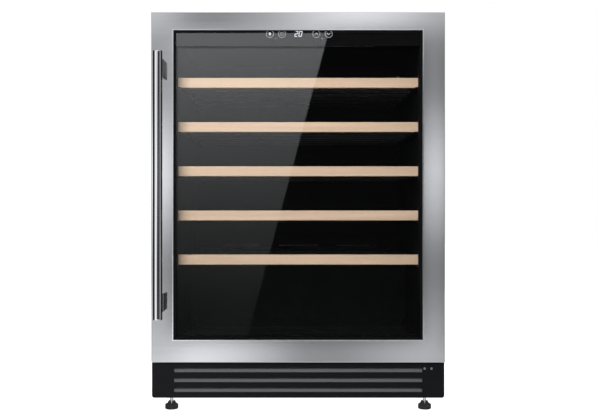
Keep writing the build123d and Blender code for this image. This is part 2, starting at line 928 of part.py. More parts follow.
def make_bottom_rack():
    """Low rack on the liner's floor, with cradles for the lowest row."""
    low = floor_level
    front = front_depth + rack_front_gap
    half = inside_half - rack_side_gap
    rail = block(half - rack_rail, half, front, front + rack_depth, low, low + rack_height)
    rack = rail + mirrored(rail)
    spacing = (rack_depth - slat_thickness) / (rack_slats - 1)
    first = -rack_pitch * (rack_bottles - 1) / 2
    positions = [first + rack_pitch * index for index in range(rack_bottles)]
    for row in range(rack_slats):
        slat_front = front + spacing * row
        slat_back = slat_front + slat_thickness
        if row in (0, rack_slats - 1):
            rack += scalloped_bar(half - rack_rail, slat_front, slat_back, low,
                                  low + rack_height, positions)
        else:
            rack += across(half - rack_rail, slat_front, slat_back, low,
                           low + rack_height - cradle_depth)
    save("bottom_rack", rack)


# ---- light, sensor and evaporator ------------------------------------------------
def make_lamp():
    """Light bar under the ceiling, with a clear lens in its underside."""
    front = front_depth + lamp_set_back
    back = front + lamp_depth
    low = ceiling - lamp_height
    housing = across(lamp_width / 2, front, back, low, ceiling)
    housing = chamfer(housing.edges().filter_by(Axis.X).group_by(Axis.Z)[0], lamp_bevel)
    half = lamp_width / 2 - lens_end_margin
    lens_front = front + lens_side_margin
    lens_back = back - lens_side_margin
    housing -= across(half, lens_front, lens_back, low - 1, low + lamp_wall)
    save("lamp_housing", housing)
    save("lamp_lens", across(half, lens_front, lens_back, low, low + lamp_wall))


def make_sensor():
    """Air temperature probe in a clip on the right-hand wall."""
    level = ceiling - top_bay / 2
    depth = cover_depth - sensor_forward
    reach = clip_width / 2
    clip = block(inside_half - clip_thickness, inside_half, depth, depth + clip_width,
                 level - reach, level + reach)
    clip = chamfer(clip.edges().filter_by(Axis.X), clip_bevel)
    probe_x = inside_half - clip_thickness + clip_hold - sensor_diameter / 2
    probe = upright_prism(small_sides, probe_x, depth + reach, level - sensor_length / 2,
                          level + sensor_length / 2, sensor_diameter)
    save("temperature_sensor", clip + probe)


def make_evaporator():
    """Plate evaporator with a raised refrigerant channel, on four stand-off bosses."""
    low = evaporator_low
    high = evaporator_high
    half = inside_half - evaporator_side_gap
    back = inside_back - stand_off
    plate_front = back - evaporator_plate
    body = across(half, plate_front, back, low, high)
    pitch = (high - low - 2 * channel_end_margin) / (channel_runs - 1)
    run_half = half - channel_side_margin
    channel_front = plate_front - channel_height
    for run in range(channel_runs):
        level = low + channel_end_margin + run * pitch
        body += across(run_half, channel_front, plate_front, level - channel_width / 2,
                       level + channel_width / 2)
        if run < channel_runs - 1:
            side = 1 if run % 2 == 0 else -1
            outer = side * run_half
            inner = side * (run_half - channel_width)
            body += block(min(outer, inner), max(outer, inner), channel_front, plate_front,
                          level, level + pitch)
    reach = stand_off_width / 2
    for x in (-half + stand_off_side, half - stand_off_side):
        for level in (low + stand_off_end, high - stand_off_end):
            body += block(x - reach, x + reach, back, inside_back, level - reach,
                          level + reach)
    save("evaporator", body)


def make_evaporator_cover():
    """Inner back wall with air slots below and the fan's outlet above."""
    low = hump_top
    half = inside_half - cover_side_gap
    front = cover_depth
    back = cover_depth + cover_sheet
    cover = across(half, front, back, low, ceiling - cover_top_gap)
    cover += across(half, back, inside_back, low, low + cover_sheet)
    cover -= upright_prism(small_sides, drain_x(), drain_depth(), low - 1,
                           low + cover_sheet + 1, drain_diameter - 2 * drain_wall)
    first_column = -inlet_spacing * (inlet_columns - 1) / 2
    for row in range(inlet_rows):
        level = low + inlet_first + row * inlet_pitch
        for column in range(inlet_columns):
            x = first_column + column * inlet_spacing
            cover -= block(x - inlet_width / 2, x + inlet_width / 2, front - 1, back + 1,
                           level - inlet_height / 2, level + inlet_height / 2)
    outlet_radius = duct_diameter / 2 - outlet_margin
    outer_row = int(outlet_radius // outlet_pitch)
    for row in range(-outer_row, outer_row + 1):
        rise = row * outlet_pitch
        reach = (outlet_radius ** 2 - rise ** 2) ** 0.5
        cover -= across(reach, front - 1, back + 1, fan_level + rise - outlet_slot / 2,
                        fan_level + rise + outlet_slot / 2)
    save("evaporator_cover", cover)


# ---- fans ----------------------------------------------------------------------------
def fan_frame_piece(x, front, level):
    """Square fan frame with a round duct, three struts and a motor boss at the back."""
    back = front + fan_depth
    half = fan_frame / 2
    frame = block(x - half, x + half, front, back, level - half, level + half)
    frame = chamfer(frame.edges().filter_by(Axis.Y), fan_corner)
    frame -= prism_along_y(duct_sides, x, front - 1, back + 1, level, duct_diameter)
    boss_front = back - motor_boss_depth
    frame += prism_along_y(small_sides, x, boss_front, back, level, motor_boss_diameter)
    for turn in (90, 210, 330):
        reach = duct_diameter / 2 + strut_root
        bar = Pos(reach / 2, 0, 0) * Box(reach, motor_boss_depth / 2, strut)
        place = Pos(x, face_y + back - motor_boss_depth / 4, level)
        frame += place * Rot(0, turn, 0) * bar
    frame -= along_y(x, boss_front - 1, back + 1, level, shaft_diameter + 2 * shaft_play)
    return frame


def fan_rotor_piece(x, front, level):
    """Hub on a shaft with pitched blades that widen towards the tip."""
    back = front + fan_depth
    hub_back = back - motor_boss_depth - hub_gap
    hub_front = hub_back - rotor_depth
    hub = prism_along_y(hub_sides, x, hub_front, hub_back, level, hub_diameter)
    rotor = hub + along_y(x, hub_back, back, level, shaft_diameter)
    tip = duct_diameter / 2 - blade_tip_gap
    root = hub_diameter / 2 - blade_root
    chord = rotor_depth * 0.8
    outline = Polyline((root, -chord / 2), (tip, -chord * 0.62), (tip - blade_rake, chord * 0.62),
                       (root, chord / 2), close=True)
    blade = extrude(make_face(outline), amount=blade_thickness / 2, both=True)
    middle = Pos(x, face_y + (hub_front + hub_back) / 2, level)
    for index in range(blade_count):
        turn = Rot(0, 360 / blade_count * index, 0) * Rot(blade_pitch, 0, 0)
        rotor += middle * turn * blade
    return rotor


def make_fans():
    """Circulation fan behind the inner back wall and condenser fan in the machine space."""
    front = cover_depth + cover_sheet + touch_gap
    frame = fan_frame_piece(0, front, fan_level)
    spot = fan_frame / 2 - fan_post_inset
    reach = fan_post_width / 2
    for x in (-spot, spot):
        for level in (fan_level - spot, fan_level + spot):
            frame += block(x - reach, x + reach, front + fan_depth, inside_back,
                           level - reach, level + reach)
    save("circulation_fan_frame", frame)
    save("circulation_fan_rotor", fan_rotor_piece(0, front, fan_level))
    x = condenser_fan_x()
    level = base_top + fan_frame / 2 + touch_gap
    front = condenser_fan_front()
    frame = fan_frame_piece(x, front, level)
    foot_front = front + fan_foot_inset
    frame += block(x - fan_frame / 2, x + fan_frame / 2, foot_front,
                   foot_front + fan_foot_width, base_top, base_top + fan_foot_height)
    save("condenser_fan_frame", frame)
    save("condenser_fan_rotor", fan_rotor_piece(x, front, level))


def condenser_fan_x():
    """Distance of the condenser fan's axis from the cooler's middle."""
    return -(cabinet_half - sheet - condenser_width / 2 - condenser_side_gap)


def condenser_fan_front():
    """Depth of the condenser fan's front."""
    return machine_front + condenser_fan_gap


# ---- machine space --------------------------------------------------------------------
def compressor_depth():
    """Depth of the compressor's axis behind the door face."""
    return machine_front + machine_depth / 2 + compressor_set_back


def compressor_low():
    """Height of the compressor's foot plate on its grommets."""
    return base_top + grommet_height


def make_compressor():
    """Sealed can on a foot plate, its rubber grommets and its starter box."""
    low = compressor_low()
    x = compressor_x
    depth = compressor_depth()
    radius = compressor_diameter / 2
    plate_top = low + compressor_foot_plate
    can = upright_prism(can_sides, x, depth, plate_top - compressor_seat,
                        low + compressor_height, compressor_diameter)
    can = chamfer(can.edges().group_by(Axis.Z)[-1], radius * 0.35, radius * 0.5)
    half = compressor_foot / 2
    half_depth = compressor_foot_depth / 2
    plate = block(x - half, x + half, depth - half_depth, depth + half_depth, low, plate_top)
    plate = chamfer(plate.edges().filter_by(Axis.Z), compressor_foot_corner)
    can += plate
    grommets = []
    reach = grommet_width / 2
    for side in (-1, 1):
        for end in (-1, 1):
            spot_x = x + side * (half - grommet_inset)
            spot_depth = depth + end * (half_depth - grommet_inset)
            grommets.append(block(spot_x - reach, spot_x + reach, spot_depth - reach,
                                  spot_depth + reach, base_top, low))
    starter_low = low + starter_rise
    starter = block(x - radius - starter_reach, x - radius * 0.72, depth - starter_width / 2,
                    depth + starter_width / 2, starter_low, starter_low + starter_height)
    save("compressor", can + starter)
    save_group("compressor_grommets", grommets)


def tray_low():
    """Height of the evaporation tray's underside, just over the compressor."""
    return compressor_low() + compressor_height + touch_gap


def tray_top():
    """Height of the evaporation tray's rim."""
    return tray_low() + tray_height


def make_tray():
    """Evaporation tray that lies on the compressor's dome."""
    x = compressor_x
    depth = compressor_depth()
    half = compressor_diameter / 2 + tray_overhang
    tray = block(x - half, x + half, depth - half, depth + half, tray_low(), tray_top())
    tray = chamfer(tray.edges().filter_by(Axis.Z), tray_corner)
    inner = half - tray_wall
    hollow = block(x - inner, x + inner, depth - inner, depth + inner, tray_low() + tray_wall,
                   tray_top() + 1)
    hollow = chamfer(hollow.edges().filter_by(Axis.Z), tray_corner - tray_wall / 2)
    save("evaporation_tray", tray - hollow)


def make_condenser():
    """Condenser block of flat tubes between two headers, crossed by upright fins."""
    x = condenser_fan_x()
    half = condenser_width / 2
    back = condenser_fan_front() - touch_gap
    front = back - condenser_thickness
    high = base_top + condenser_height
    header = block(x - half, x - half + condenser_header, front, back, base_top, high)
    core = header + block(x + half - condenser_header, x + half, front, back, base_top, high)
    tube_pitch = (condenser_height - 2 * condenser_tube) / (condenser_tubes - 1)
    for index in range(condenser_tubes):
        low = base_top + condenser_tube / 2 + index * tube_pitch
        core += block(x - half, x + half, front + condenser_lip, back - condenser_lip, low,
                      low + condenser_tube)
    fin_pitch = (condenser_width - 2 * condenser_header) / (condenser_fins + 1)
    for index in range(1, condenser_fins + 1):
        left = x - half + condenser_header + index * fin_pitch - condenser_fin / 2
        core += block(left, left + condenser_fin, front + condenser_lip,
                      back - condenser_lip, base_top + condenser_tube, high - condenser_tube)
    save("condenser", core)


def control_box_x():
    """Left edge of the electronics box."""
    return -(cabinet_half - sheet - control_box_inset)


def make_control_box():
    """Electronics box on the divider's underside, and the mains gland in the cover."""
    left = control_box_x()
    high = machine_top - sheet
    low = high - control_box_height
    back = overall_depth - sheet - touch_gap
    box = block(left, left + control_box_width, back - control_box_depth, back, low, high)
    box = chamfer(box.edges().filter_by(Axis.Y).group_by(Axis.Z)[0], control_box_bevel)
    save("electronics_box", box)


def make_rear_cover():
    """Removable rear cover with air slots, its screws and the mains inlet gland."""
    half = cabinet_half - sheet
    front = overall_depth - sheet
    cover = across(half, front, overall_depth, base_top, machine_top - touch_gap)
    outer = half - vent_edge
    for row in range(vent_rows):
        level = base_top + vent_first + row * vent_pitch
        vent = block(outer - vent_width, outer, front - 1, overall_depth + 1,
                     level - vent_height / 2, level + vent_height / 2)
        cover -= vent + mirrored(vent)
    level = base_top + gland_rise
    cover -= prism_along_y(hex_sides, -gland_side, front - 1, overall_depth + 1, level,
                           gland_diameter)
    save("rear_cover", cover)
    gland_front = front - gland_depth
    gland = prism_along_y(hex_sides, -gland_side, gland_front, overall_depth, level,
                          gland_diameter)
    gland -= prism_along_y(small_sides, -gland_side, gland_front - 1, overall_depth + 1, level,
                           gland_bore)
    save("mains_gland", gland)


# ---- base, kick plate and feet -------------------------------------------------------
def foot_places():
    """Names and places of the four feet."""
    x = door_half - foot_inset
    return [("front_left", -x, front_foot_depth), ("front_right", x, front_foot_depth),
            ("rear_left", -x, rear_foot_depth), ("rear_right", x, rear_foot_depth)]


def make_base():
    """Base pan, the frame under the casing's front and the weld nuts for the feet."""
    half = cabinet_half - sheet
    kick_back = kick_set_back + kick_wall
    pan = across(half, kick_back, overall_depth, ground_clearance, base_top)
    flange_front = front_depth + front_plate
    flange = block(half - base_sheet, half, flange_front, overall_depth - sheet, base_top,
                   base_top + base_flange)
    pan += flange + mirrored(flange)
    for _, x, depth in foot_places():
        pan -= upright_prism(small_sides, x, depth, ground_clearance - 1, base_top + 1,
                             stud_diameter + 2 * stud_hole_play)
    frame_top = floor_of_casing - sheet
    frame = ring(half, base_top, frame_top, front_depth, front_depth + front_plate,
                 pivot_x - hinge_arm_left - base_frame_side, base_top + base_frame_foot,
                 frame_top - base_frame_head)
    save("base_pan", pan + hinge_fixings(frame))
    nuts = []
    for _, x, depth in foot_places():
        nut = upright_prism(hex_sides, x, depth, base_top, base_top + insert_height,
                            insert_diameter)
        nut -= upright(x, depth, base_top - 1, base_top + insert_height + 1,
                       stud_diameter + 2 * stud_play)
        nuts.append(nut)
    save_group("foot_inserts", nuts)


def louvre_levels():
    """Heights of the louvres' middles."""
    first = floor_of_casing - louvre_top
    return [first - louvre_pitch * index for index in range(louvre_count)]


def kick_screw_places():
    """Places of the two screws at the kick plate's top right."""
    edge = louvre_half + kick_screw_gap
    level = floor_of_casing - kick_screw_drop
    return [(edge, level), (edge + kick_screw_pitch, level)]


def make_kick_plate():
    """Dark plinth with three louvres, folded back at both ends."""
    half = kick_half
    front = kick_set_back
    wall = kick_wall
    shell = across(half, front, front_depth, ground_clearance, floor_of_casing)
    shell = fillet(shell.edges().filter_by(Axis.Y).group_by(Axis.Z)[0], kick_corner)
    shell -= across(half - wall, front + wall, front_depth + 1, ground_clearance - 1,
                    floor_of_casing + 1)
    for level in louvre_levels():
        shell -= across(louvre_half, front - 1, front + wall + 1,
                        level - louvre_height / 2, level + louvre_height / 2)
    for x, level in kick_screw_places():
        shell -= prism_along_y(small_sides, x, front - 1, front + wall + 1, level,
                               kick_screw + 2 * hole_play)
    save("kick_plate", shell)


def make_kick_grille():
    """Sloping louvre blades behind the kick plate; gives back the plate's two screws."""
    front = kick_set_back + kick_wall
    half = louvre_half + grille_lap
    reach = louvre_height / cos(radians(blade_slope)) * 1.05
    rise = reach * cos(radians(blade_slope))
    run = reach * sin(radians(blade_slope))
    grille = None
    for level in louvre_levels():
        high = level + rise / 2
        low = level - rise / 2
        points = [(front, low), (front + run, high), (front + run, high + blade_sheet),
                  (front, low + blade_sheet * 1.6)]
        blade = extruded_across(points, half)
        grille = blade if grille is None else grille + blade
    top = louvre_levels()[0] + louvre_height
    bottom = louvre_levels()[-1] - louvre_height
    tail = front + run + grille_tail
    end = block(half, half + grille_end, front, tail, bottom, top)
    grille += end + mirrored(end)
    grille += across(grille_post / 2, front + run - blade_sheet / 2, tail, bottom, top)
    places = kick_screw_places()
    tab_level = places[0][1]
    tab_back = front + tab_thickness
    grille += block(half, places[-1][0] + tab_margin, front, tab_back,
                    tab_level - tab_height / 2, tab_level + tab_height / 2)
    screws = []
    for x, level in places:
        grille -= prism_along_y(small_sides, x, front - 1, tab_back + 1, level,
                                kick_screw + 2 * hole_play)
        shank = prism_along_y(small_sides, x, kick_set_back, tab_back, level, kick_screw)
        head = prism_along_y(hex_sides, x, kick_set_back - kick_head_height, kick_set_back,
                             level, kick_head_diameter)
        screws.append(shank + head)
    save("kick_grille", grille)
    return screws


def make_feet():
    """Levelling feet: a bevelled pad, a crown with two crossing slots and a stud."""
    for name, x, depth in foot_places():
        foot = upright_prism(foot_sides, x, depth, 0, foot_pad_height, foot_diameter)
        foot = chamfer(foot.edges().group_by(Axis.Z)[-1], foot_bevel)
        crown_top = foot_pad_height + foot_crown_height
        crown = upright_prism(crown_sides, x, depth, foot_pad_height, crown_top,
                              foot_crown_diameter)
        slot_low = crown_top - foot_slot_depth
        reach = foot_crown_diameter
        half = foot_slot / 2
        crown -= block(x - reach, x + reach, depth - half, depth + half, slot_low, crown_top + 1)
        crown -= block(x - half, x + half, depth - reach, depth + reach, slot_low, crown_top + 1)
        foot += crown
        foot += upright(x, depth, slot_low, stud_height, stud_diameter)
        save(f"{name}_foot", foot)


# ---- build ------------------------------------------------------------------------------
make_door_skin()
make_door_core()
make_glazing()
make_controls()
make_gasket()
make_handle()
make_bushes()
hinge_screws = make_hinges()
make_casing()
make_insulation()
make_liner()
make_drain()
for shelf_number, shelf_level in enumerate(shelf_levels, start=1):
    make_shelf(shelf_number, shelf_level)
make_runners()
make_bottom_rack()
make_lamp()
make_sensor()
make_evaporator()
make_evaporator_cover()
make_fans()
make_compressor()
make_tray()
make_condenser()
make_control_box()
make_rear_cover()
make_base()
make_kick_plate()
kick_screws = make_kick_grille()
save_group("cabinet_screws", hinge_screws + kick_screws)
make_feet()
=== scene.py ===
"""Looks of an under-counter wine cooler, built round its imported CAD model."""
import json
import math

import bmesh
import bpy
import numpy as np
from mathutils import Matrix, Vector


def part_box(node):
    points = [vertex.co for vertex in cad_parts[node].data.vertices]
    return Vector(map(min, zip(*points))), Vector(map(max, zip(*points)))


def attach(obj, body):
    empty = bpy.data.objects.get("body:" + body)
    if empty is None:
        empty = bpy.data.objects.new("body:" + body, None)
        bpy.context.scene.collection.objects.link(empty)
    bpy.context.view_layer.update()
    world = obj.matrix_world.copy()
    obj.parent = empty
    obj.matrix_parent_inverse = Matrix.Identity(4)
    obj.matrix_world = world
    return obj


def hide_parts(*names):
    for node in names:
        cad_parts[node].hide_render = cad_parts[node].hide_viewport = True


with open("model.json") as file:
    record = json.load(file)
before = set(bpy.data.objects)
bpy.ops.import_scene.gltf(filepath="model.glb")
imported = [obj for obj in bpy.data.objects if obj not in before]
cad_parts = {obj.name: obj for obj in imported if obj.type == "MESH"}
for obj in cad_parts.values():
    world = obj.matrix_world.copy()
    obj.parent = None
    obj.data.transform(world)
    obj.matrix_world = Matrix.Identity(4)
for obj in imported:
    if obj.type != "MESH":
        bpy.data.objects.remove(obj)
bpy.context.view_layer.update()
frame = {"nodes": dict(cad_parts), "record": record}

bl_info = {
    "name": "Wine Cooler Looks",
    "version": (1, 0, 0),
    "blender": (4, 5, 0),
    "location": "View3D > Sidebar > Wine Cooler",
    "description": "Dresses the wine cooler's CAD model with fine pieces and finishes",
    "category": "Object",
}

SLOT_OF = {row["node"]: row["material_slot"] for row in frame["record"]["subparts"]}
FEET = sorted(name for name in frame["nodes"] if name.endswith("_foot"))


# ---- sizes and colours ---------------------------------------------------------------------
class CoolerSizes(bpy.types.PropertyGroup):
    """Sizes of the fine pieces, in metres."""

    edge_round: bpy.props.FloatProperty(
        name="Edge round", description="Radius of the handle bar's end edges",
        default=0.0007, min=0.0, subtype="DISTANCE", unit="LENGTH")
    seal_width: bpy.props.FloatProperty(
        name="Seal width", description="Width of the black bead round the glass",
        default=0.0048, min=0.001, subtype="DISTANCE", unit="LENGTH")
    key_size: bpy.props.FloatProperty(
        name="Key size", description="Width of one touch key's outline",
        default=0.0154, min=0.005, subtype="DISTANCE", unit="LENGTH")
    key_line: bpy.props.FloatProperty(
        name="Key line", description="Width of the printed lines of the keys",
        default=0.0006, min=0.0001, subtype="DISTANCE", unit="LENGTH")
    digit_height: bpy.props.FloatProperty(
        name="Digit height", description="Height of the temperature digits",
        default=0.0116, min=0.004, subtype="DISTANCE", unit="LENGTH")
    print_thickness: bpy.props.FloatProperty(
        name="Print thickness", description="Thickness of printed and lit marks",
        default=0.00012, min=0.00001, subtype="DISTANCE", unit="LENGTH")
    thread_pitch: bpy.props.FloatProperty(
        name="Thread pitch", description="Pitch of the thread on the foot studs",
        default=0.00125, min=0.0005, subtype="DISTANCE", unit="LENGTH")


class CoolerColours(bpy.types.PropertyGroup):
    """Colours of the finishes."""

    steel: bpy.props.FloatVectorProperty(
        name="Steel", description="Brushed stainless steel", subtype="COLOR", size=3,
        default=(0.60, 0.605, 0.62), min=0.0, max=1.0)
    beech: bpy.props.FloatVectorProperty(
        name="Beech", description="Pale wood of the shelf fronts", subtype="COLOR", size=3,
        default=(0.75, 0.515, 0.37), min=0.0, max=1.0)
    black_paint: bpy.props.FloatVectorProperty(
        name="Black paint", description="Powder coat of the casing and the plinth",
        subtype="COLOR", size=3, default=(0.0034, 0.0036, 0.0046), min=0.0, max=1.0)
    # on the louvre blades this grey, lighter than the plinth's black, is painted light from above
    grey_plastic: bpy.props.FloatVectorProperty(
        name="Grey plastic", description="Louvre blades and small mouldings",
        subtype="COLOR", size=3, default=(0.088, 0.090, 0.097), min=0.0, max=1.0)
    display: bpy.props.FloatVectorProperty(
        name="Display", description="Light of the digits and the keys", subtype="COLOR",
        size=3, default=(0.88, 0.89, 1.0), min=0.0, max=1.0)


def sizes():
    """The sizes that the panel shows."""
    return bpy.context.scene.cooler_sizes


def colours():
    """The colours that the panel shows."""
    return bpy.context.scene.cooler_colours


# ---- finishes --------------------------------------------------------------------------------
FINISHES = {}


def emptied(owner):
    """The owner's node tree, emptied, as its calls for a new node and a new link."""
    owner.use_nodes = True
    owner.node_tree.nodes.clear()
    return owner.node_tree.nodes.new, owner.node_tree.links.new


class Finish:
    """A material's node tree with one Principled shader."""

    def __init__(self, name):
        self.material = bpy.data.materials.new(name)
        self.new, self.join = emptied(self.material)
        self.shader = self.add("ShaderNodeBsdfPrincipled")
        self.output = self.add("ShaderNodeOutputMaterial")
        self.join(self.shader.outputs[0], self.output.inputs["Surface"])

    def add(self, kind, **inputs):
        """A new node with its inputs set by name."""
        node = self.new(kind)
        for label, value in inputs.items():
            node.inputs[label.replace("_", " ")].default_value = value
        return node

    def set(self, **inputs):
        """Set the shader's own sockets."""
        for label, value in inputs.items():
            self.shader.inputs[label.replace("_", " ")].default_value = value

    def place(self, scale=1.0):
        """Object coordinates in metres times the scale, which is one number or three."""
        coordinates = self.add("ShaderNodeTexCoord")
        mapping = self.add("ShaderNodeMapping")
        mapping.inputs["Scale"].default_value = np.broadcast_to(scale, 3)
        self.join(coordinates.outputs["Object"], mapping.inputs["Vector"])
        return mapping.outputs["Vector"]

    def noise(self, scale, detail=2.0, roughness=0.5, distortion=0.0):
        """Noise from 0 to 1 whose cells measure one over scale, in metres."""
        node = self.add("ShaderNodeTexNoise", Scale=1.0, Detail=detail, Roughness=roughness,
                        Distortion=distortion)
        self.join(self.place(scale), node.inputs["Vector"])
        return node.outputs["Fac"]

    def cells(self, scale):
        """Distance to the nearest of scattered points that lie one over scale apart."""
        node = self.add("ShaderNodeTexVoronoi", Scale=1.0)
        self.join(self.place(scale), node.inputs["Vector"])
        return node.outputs["Distance"]

    def blend(self, factor, low, high):
        """A colour between two, each of them a colour or another node's socket."""
        node = self.add("ShaderNodeMix")
        node.data_type = "RGBA"
        self.join(factor, node.inputs[0])
        for socket, colour in ((node.inputs[6], low), (node.inputs[7], high)):
            if isinstance(colour, bpy.types.NodeSocket):
                self.join(colour, socket)
            else:
                socket.default_value = (*colour, 1.0)
        return node.outputs[2]

    def span(self, value, low, high, start=0.0, end=1.0):
        """A number carried from the range start to end to the range low to high."""
        node = self.add("ShaderNodeMapRange")
        node.inputs["From Min"].default_value = start
        node.inputs["From Max"].default_value = end
        node.inputs["To Min"].default_value = low
        node.inputs["To Max"].default_value = high
        self.join(value, node.inputs["Value"])
        return node.outputs["Result"]

    def sum(self, first, second, share=0.5):
        """A weighted sum of two numbers: first x (1 - share) + second x share."""
        node = self.add("ShaderNodeMix")
        node.data_type = "FLOAT"
        node.inputs[0].default_value = share
        self.join(first, node.inputs[2])
        self.join(second, node.inputs[3])
        return node.outputs[0]

    def colour_from(self, socket):
        self.join(socket, self.shader.inputs["Base Color"])

    def roughness_from(self, socket):
        self.join(socket, self.shader.inputs["Roughness"])

    def bump_from(self, height, distance, strength=1.0):
        """Surface relief of the given depth in metres."""
        node = self.add("ShaderNodeBump", Strength=strength, Distance=distance)
        self.join(height, node.inputs["Height"])
        self.join(node.outputs["Normal"], self.shader.inputs["Normal"])


def tint(colour, factor):
    """The colour made lighter or darker."""
    return tuple(min(1.0, channel * factor) for channel in colour[:3])


def finish(name, build):
    """The finish of that name, built once."""
    if name not in FINISHES:
        FINISHES[name] = build(name)
    return FINISHES[name]


def two_grains(name, patches, colour_range, grain, rough_range, depth=0.0, **settings):
    """Patches between two colours and a grain between two roughnesses, each a (scale, detail).

    The grain also stands out in relief by the depth in metres.
    """
    look = Finish(name)
    cloud = look.noise(patches[0], detail=patches[1])
    fine = look.noise(grain[0], detail=grain[1])
    look.colour_from(look.blend(cloud, *colour_range))
    look.roughness_from(look.span(fine, *rough_range))
    if depth:
        look.bump_from(fine, depth)
    look.set(**settings)
    return look.material


def brushed_steel(name):
    """Horizontally brushed stainless sheet: fine scratches and faint longer streaks."""
    look = Finish(name)
    fine = look.noise((14.0, 700.0, 1900.0), detail=3.0)
    streaks = look.noise((2.5, 40.0, 160.0), detail=4.0)
    smudge = look.noise(9.0, detail=2.0)
    grain = look.sum(fine, streaks, 0.45)
    steel = tuple(colours().steel)
    look.colour_from(look.blend(grain, tint(steel, 0.90), tint(steel, 1.07)))
    look.roughness_from(look.sum(look.span(grain, 0.08, 0.16), look.span(smudge, 0.1, 0.14), 0.4))
    look.bump_from(grain, 0.00001)
    look.set(Metallic=1.0)
    return look.material


def rolled_hem_painted_highlight(name):
    """Rolled edge of the door's opening, its steel colour lighter than the brushed face: a painted
    highlight.
    """
    steel = tuple(colours().steel)
    # painted highlight: the hem's steel is lighter than the door's face
    return two_grains(name, (60.0, 3.0), (tint(steel, 1.05), tint(steel, 1.16)), (60.0, 3.0),
                      (0.1, 0.2), Metallic=1.0)


def satin_steel_painted_shade(name):
    """Satin steel of the handle posts with a vertical grain; its colour is darkened on the front
    towards the bar, painted shade where the tube shades the post, and clears towards the post's
    right side and the door's face.
    """
    look = Finish(name)
    grain = look.noise((1500.0, 600.0, 18.0), detail=3.0)
    steel = tuple(colours().steel)
    plain = look.blend(grain, tint(steel, 0.9), tint(steel, 1.05))
    _, post_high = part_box("handle_posts")
    across = look.add("ShaderNodeSeparateXYZ")
    look.join(look.place(), across.inputs[0])
    # painted shade: the colour darkens towards the bar and the post's front, clearing to the right
    # and towards the door
    beside = look.span(across.outputs["X"], 0.0, 0.2, *(post_high.x - POST_SHADE_X_SPAN))
    shade_clear_y = look.span(across.outputs["Y"], 0.0, 0.8, *(post_high.y - POST_SHADE_Y_SPAN))
    clear = look.add("ShaderNodeMath")
    look.join(beside, clear.inputs[0])
    look.join(shade_clear_y, clear.inputs[1])
    look.colour_from(look.blend(clear.outputs[0], tint(steel, 0.07), plain))
    look.roughness_from(look.span(grain, 0.2, 0.33))
    look.bump_from(grain, 0.00001)
    look.set(Metallic=1.0)
    return look.material


def polished_bar_painted_rim(name):
    """Polished tube with hair-fine marks and a few dull patches; its colour darkens where it turns
    away from the view, a painted dark reflection along its sides.
    """
    look = Finish(name)
    marks = look.noise((120.0, 120.0, 2600.0), detail=2.0)
    dull = look.noise((30.0, 30.0, 12.0), detail=3.0)
    bright = look.blend(marks, (0.80, 0.80, 0.815), (0.88, 0.88, 0.89))
    # painted reflection: the colour goes near black where the tube turns away from the view
    turned = look.add("ShaderNodeLayerWeight", Blend=0.5)
    edge = look.span(turned.outputs["Facing"], 0.0, 1.0, 0.27, 0.33)
    look.colour_from(look.blend(edge, bright, (0.035, 0.035, 0.038)))
    look.roughness_from(look.sum(look.span(marks, 0.01, 0.05), look.span(dull, 0.01, 0.05), 0.5))
    look.bump_from(marks, 0.000002)
    look.set(Metallic=1.0)
    return look.material


def zinc_plate(name):
    """Bright zinc plating: cloudy spangle, soft dents and dull edges."""
    look = Finish(name)
    spangle = look.cells(140.0)
    cloud = look.noise(22.0, detail=3.0)
    mottle = look.sum(spangle, cloud, 0.6)
    look.colour_from(look.blend(mottle, (0.50, 0.51, 0.52), (0.72, 0.73, 0.73)))
    look.roughness_from(look.span(mottle, 0.28, 0.5))
    look.bump_from(cloud, 0.00004)
    look.set(Metallic=1.0)
    return look.material


def bright_stud(name):
    """Bright zinc of the foot studs, a little cloudy."""
    return two_grains(name, (90.0, 3.0), ((0.86, 0.87, 0.88), (0.96, 0.96, 0.96)),
                      (90.0, 3.0), (0.18, 0.3), Metallic=1.0)


def black_oxide(name):
    """Blackened screw steel with a bright rub on its high spots."""
    look = Finish(name)
    rub = look.noise(1500.0, detail=3.0)
    look.colour_from(look.blend(look.span(rub, 0.0, 1.0, 0.4, 0.65), (0.12, 0.12, 0.125),
                                (0.62, 0.62, 0.63)))
    look.roughness_from(look.span(rub, 0.3, 0.45))
    look.set(Metallic=1.0)
    return look.material


def powder_coat(name):
    """Black powder coat: orange peel of about a millimetre and light dust."""
    look = Finish(name)
    peel = look.noise(900.0, detail=1.5)
    wave = look.noise(16.0, detail=3.0)
    paint = tuple(colours().black_paint)
    look.colour_from(look.blend(wave, tint(paint, 0.85), tint(paint, 1.3)))
    look.roughness_from(look.sum(look.span(peel, 0.28, 0.40), look.span(wave, 0.3, 0.42), 0.5))
    look.bump_from(peel, 0.00002)
    look.set(Specular_IOR_Level=0.12)
    return look.material


def dark_wire_coat(name):
    """Dark coated steel of the shelf frames, with small worn specks."""
    return two_grains(name, (60.0, 4.0), ((0.006, 0.006, 0.0066), (0.013, 0.013, 0.014)),
                      (700.0, 2.0), (0.32, 0.46), 0.00002, Specular_IOR_Level=0.25)


def black_moulding(name):
    """Black plastic with a fine moulded grain."""
    look = Finish(name)
    flow = look.noise((12.0, 12.0, 30.0), detail=3.0)
    look.colour_from(look.blend(flow, (0.0040, 0.0041, 0.0044), (0.0070, 0.0071, 0.0075)))
    look.roughness_from(look.span(flow, 0.5, 0.62))
    look.bump_from(look.cells(1400.0), 0.00003)
    look.set(Specular_IOR_Level=0.2)
    return look.material


def grey_moulding_and_painted_light(name):
    """Mid grey plastic with a satin surface. On the louvre blades the grey, lighter than the
    plinth's black, is painted light from above.
    """
    grey = tuple(colours().grey_plastic)
    return two_grains(name, ((7.0, 25.0, 25.0), 3.0), (tint(grey, 0.9), tint(grey, 1.08)),
                      (1100.0, 2.0), (0.42, 0.55), 0.00002, Specular_IOR_Level=0.25)


